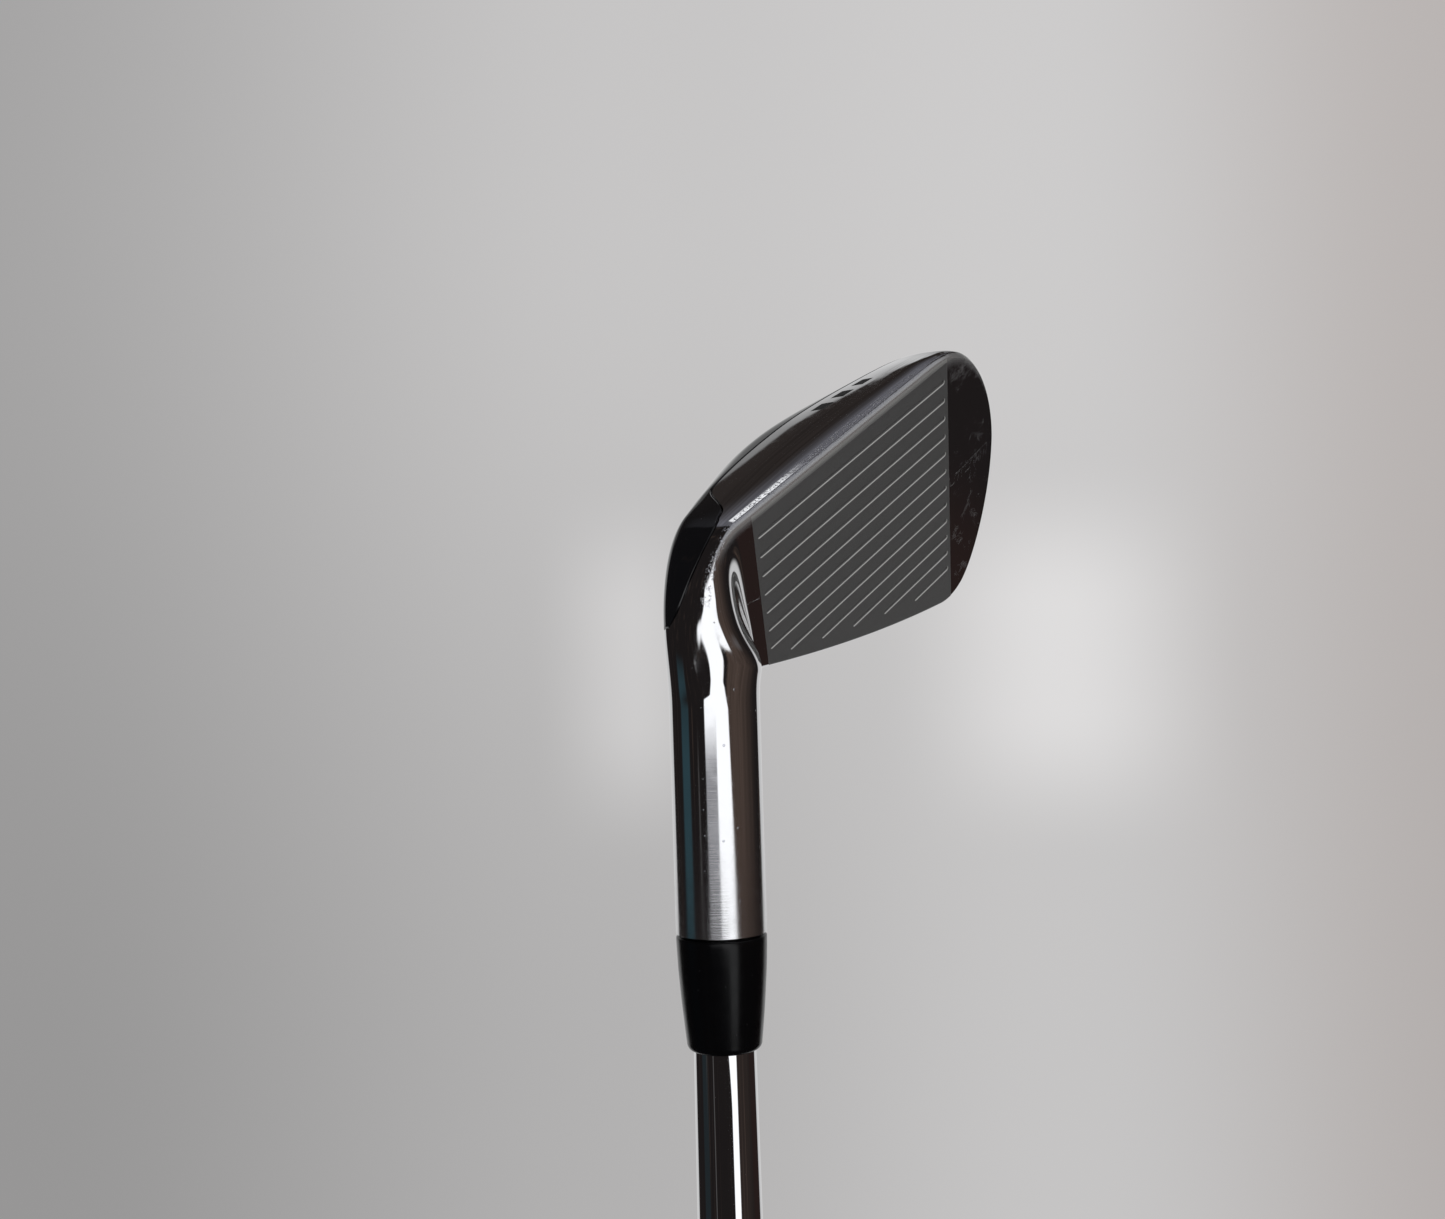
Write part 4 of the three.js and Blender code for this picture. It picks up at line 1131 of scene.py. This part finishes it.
def studio_panels(net, azimuth, elevation):
    """What the chrome reflects: a dark room, panels, a slanted strip light and a pale wall behind."""
    place = net.vector(net.product(azimuth, 0.16), net.product(elevation, 0.05), 0.0)
    clutter = net.noise(place, 1.0, 4.0, 0.7)
    colour = net.mix(net.rise(clutter, 0.56, 0.72), DARK, shade(BROWN, 0.7))
    warm = net.product(net.window(azimuth, 30, 128, 4), net.fall(azimuth, 55, 125))
    warm = net.product(warm, net.rise(elevation, -15, -10, 0.3, 1.0))
    brown = net.mix(net.rise(clutter, 0.35, 0.65), shade(BROWN, 0.65), BROWN)
    colour = net.mix(warm, colour, brown)
    dusk = net.product(net.window(azimuth, 98, 132, 5), net.window(elevation, -32, -13, 2))
    colour = net.mix(dusk, colour, DUSK)
    upper = net.product(net.window(azimuth, 28, 95, 6), net.rise(elevation, 25, 34))
    colour = net.mix(upper, colour, UPPER_GREY)
    teal = net.product(net.window(azimuth, -94, -70, 2.5), net.fall(elevation, -5, 2),
                         net.rise(elevation, -15, -11, 0.25, 1.0))
    colour = net.mix(teal, colour, TEAL)
    line = net.product(net.window(azimuth, -47, -44, 0.8), net.rise(elevation, -6, -3, 0.12, 0.0))
    colour = net.mix(line, colour, WALL)

    left_side = net.rise(elevation, 2.5, 5, -26, -11)
    left_side = net.math("ADD", left_side, net.rise(elevation, 11, 24, 0, 18))
    right_side = net.rise(elevation, -12, 12, 41, 21)
    right_side = net.math("ADD", right_side, net.rise(elevation, 15.5, 22, 0, 26))
    from_left = net.above(azimuth, left_side, STRIP_SOFT)
    from_right = net.above(right_side, azimuth, STRIP_SOFT)
    core_side = net.rise(elevation, -17, -12, 20, 2)
    core = net.above(azimuth, core_side, STRIP_SOFT)
    bright = net.largest(core, net.rise(elevation, -5, -2.5))
    seen = net.largest(core, net.rise(elevation, -13, -11))
    panel = net.mix(bright, SIDE_GREY, STRIP)
    strip = net.product(from_left, from_right, net.window(elevation, -27, 27, 2), seen)
    colour = net.mix(strip, colour, panel)

    turn = net.math("ABSOLUTE", azimuth)
    limit = net.rise(turn, 168, 178, 34.0, 44.0)
    above = net.above(elevation, limit, 0.8)
    glow = net.rise(elevation, 48, 66)
    ceiling = net.mix(glow, SOFFIT, CEILING)
    lamp = net.product(net.window(azimuth, -166, -156, 1.5), net.window(elevation, 65.5, 71, 1.0))
    ceiling = net.mix(lamp, ceiling, STRIP)
    shaded = net.product(net.rise(elevation, 14, 26), net.fall(turn, 166, 180))
    wall = net.mix(shaded, WALL, shade(WALL, 0.3))
    wall = net.mix(above, wall, ceiling)
    return net.mix(net.rise(turn, 133, 139), colour, wall)


def backdrop(net, across, elevation):
    """A pale grey backdrop with a soft gradient of painted shading, darker to the left and lower down, and
    two faint painted glows that stand for lamps reflected in it.
    """
    level = net.product(net.rise(across, -30, -2, 0.37, 0.57), net.rise(across, -2, 12, 1.0, 1.07),
                          net.rise(across, 13, 28, 1.0, 0.80))
    lower = net.window(across, -30, 4, 9)
    low = net.blend(lower, net.rise(elevation, -16, 20, 0.92, 1.0),
                      net.rise(elevation, -16, 18, 0.79, 1.0))
    level = net.product(level, low)
    # painted highlights: two faint glows that stand for lamps reflected in the backdrop
    for left, right, soft, gain in ((-5.5, -1.5, 2.2, 0.12), (9.2, 16.5, 3.5, 0.15)):
        shape = net.product(net.window(across, left, right, soft), net.window(elevation, -5.5, 4, 3))
        level = net.math("ADD", level, net.product(shape, gain))
    level = net.blend(net.rise(net.math("ABSOLUTE", across), 34, 75), level, FAR_LEVEL)
    warm = net.product(net.rise(across, 14, 27), net.fall(across, 34, 75))
    green = net.product(level, net.blend(warm, 0.985, 0.94))
    blue = net.product(level, net.blend(warm, 0.985, 0.92))
    return net.add("CombineColor", {0: level, 1: green, 2: blue}).outputs[0]


def make_studio():
    world = bpy.data.worlds.new("studio")
    world.cycles.sampling_method = "NONE"
    bpy.context.scene.world = world
    net = Net(world)
    direction = net.add("TexCoord").outputs["Generated"]
    right = net.dot(direction, TO_THE_RIGHT)
    ahead = net.dot(direction, TOWARDS_SCENE)
    elevation = net.math("DEGREES", net.math("ARCSINE", net.dot(direction, (0, 0, 1))))
    facing = net.math("DEGREES", net.math("ARCTAN2", right, net.product(ahead, -1.0)))
    across = net.math("DEGREES", net.math("ARCTAN2", right, ahead))
    ray = net.add("LightPath").outputs
    colour = net.mix(ray["Is Glossy Ray"], DOME, studio_panels(net, facing, elevation))
    colour = net.mix(ray["Is Camera Ray"], colour, backdrop(net, across, elevation))
    light = net.add("Background", {"Color": colour, "Strength": 1.0})
    net.add("OutputWorld", {"Surface": light.outputs[0]})
    bpy.context.scene.view_settings.view_transform = "Standard"


FLOOR_RADIUS = 1600.0
FLOOR_FADE = 700.0
FLOOR_LEVEL = -0.5
FLOOR_RINGS = 16
FLOOR_SPOKES = 96


def make_floor():
    """A round pale floor under the grip that fades into the backdrop."""
    radii = np.arange(1, FLOOR_RINGS + 1) * FLOOR_RADIUS / FLOOR_RINGS
    turns = np.arange(FLOOR_SPOKES) * 2 * math.pi / FLOOR_SPOKES
    radius, turn = np.meshgrid(radii, turns, indexing="ij")
    level = np.full(radius.shape, FLOOR_LEVEL)
    rings = np.stack([radius * np.cos(turn), radius * np.sin(turn), level], -1).reshape(-1, 3)
    middle = [[len(rings), spoke, (spoke + 1) % FLOOR_SPOKES] for spoke in range(FLOOR_SPOKES)]
    vertices = np.concatenate([rings, [[0, 0, FLOOR_LEVEL]]])
    floor = new_object("floor", vertices, grid_faces(FLOOR_RINGS, FLOOR_SPOKES) + middle)
    floor.visible_glossy = False
    net, place = new_material("floor")
    away = net.add("VectorMath", {0: place}, operation="LENGTH").outputs["Value"]
    tone = net.rise(net.noise(place, 0.02, 6.0))
    colour = net.mix(tone, (0.84, 0.83, 0.83), (0.87, 0.86, 0.86))
    fade = net.fall(away, FLOOR_FADE, FLOOR_RADIUS)
    floor.data.materials.append(finish_material(net, colour, 0.7, alpha=fade))


# ---- pieces and materials
PAINT = grained_material("paint_fill", (0.004, 0.004, 0.004), (0.008, 0.008, 0.008), 0.55, 3.0, 0.02)
BADGE_METAL = grained_material("badge_metal", (0.24, 0.25, 0.27), (0.34, 0.35, 0.37), 0.3, 6.0, 0.01, 1.0)
CAP_RUBBER = grained_material("cap_rubber", (0.014, 0.014, 0.015), (0.022, 0.022, 0.023), 0.6, 4.0, 0.05)

PIECES = {
    "head_body": (head_body(), "polished_steel", head_material()),
    "face_plate": (face_plate(), "blasted_steel", plate_material()),
    "rear_shell": (rear_shell(), "gloss_black", shell_material()),
    "back_badge": (badge(), "badge_metal", BADGE_METAL),
    **{f"sole_bar_{index + 1}": (sole_bar(index), "paint_fill", PAINT) for index in range(3)},
    "ferrule": (ferrule_ring(), "ferrule_black", ferrule_material()),
    "shaft": (shaft_tube(), "shaft_chrome", shaft_material()),
    "grip": (grip_sleeve(), "grip_rubber", grip_material()),
    "grip_cap": (grip_cap(), "cap_rubber", CAP_RUBBER),
}

for node, (piece, slot, material) in PIECES.items():
    piece.data.materials.clear()
    piece.data.materials.append(material)
    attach(piece, "root")
    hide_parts(node)

ADHESIVE = grained_material("adhesive", (0.55, 0.52, 0.43), (0.66, 0.62, 0.52), 0.5, 2.0, 0.05)
DENSE = grained_material("tungsten", (0.2, 0.2, 0.22), (0.3, 0.3, 0.32), 0.42, 3.0, 0.03, 1.0)
KEPT_MATERIALS = {
    "badge_tape": ADHESIVE,
    "cavity_damper": grained_material("elastomer", (0.03, 0.05, 0.08), (0.05, 0.07, 0.1), 0.75, 1.5, 0.05),
    "toe_weight": DENSE,
    "heel_weight": DENSE,
    "hosel_epoxy": ADHESIVE,
    "tip_weight": grained_material("brass", (0.55, 0.39, 0.15), (0.64, 0.46, 0.2), 0.28, 4.0, 0.02, 1.0),
    "shaft_band": band_material(),
    "grip_tape": ADHESIVE,
}

for node, material in KEPT_MATERIALS.items():
    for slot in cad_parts[node].material_slots:
        slot.material = material

make_studio()
make_floor()
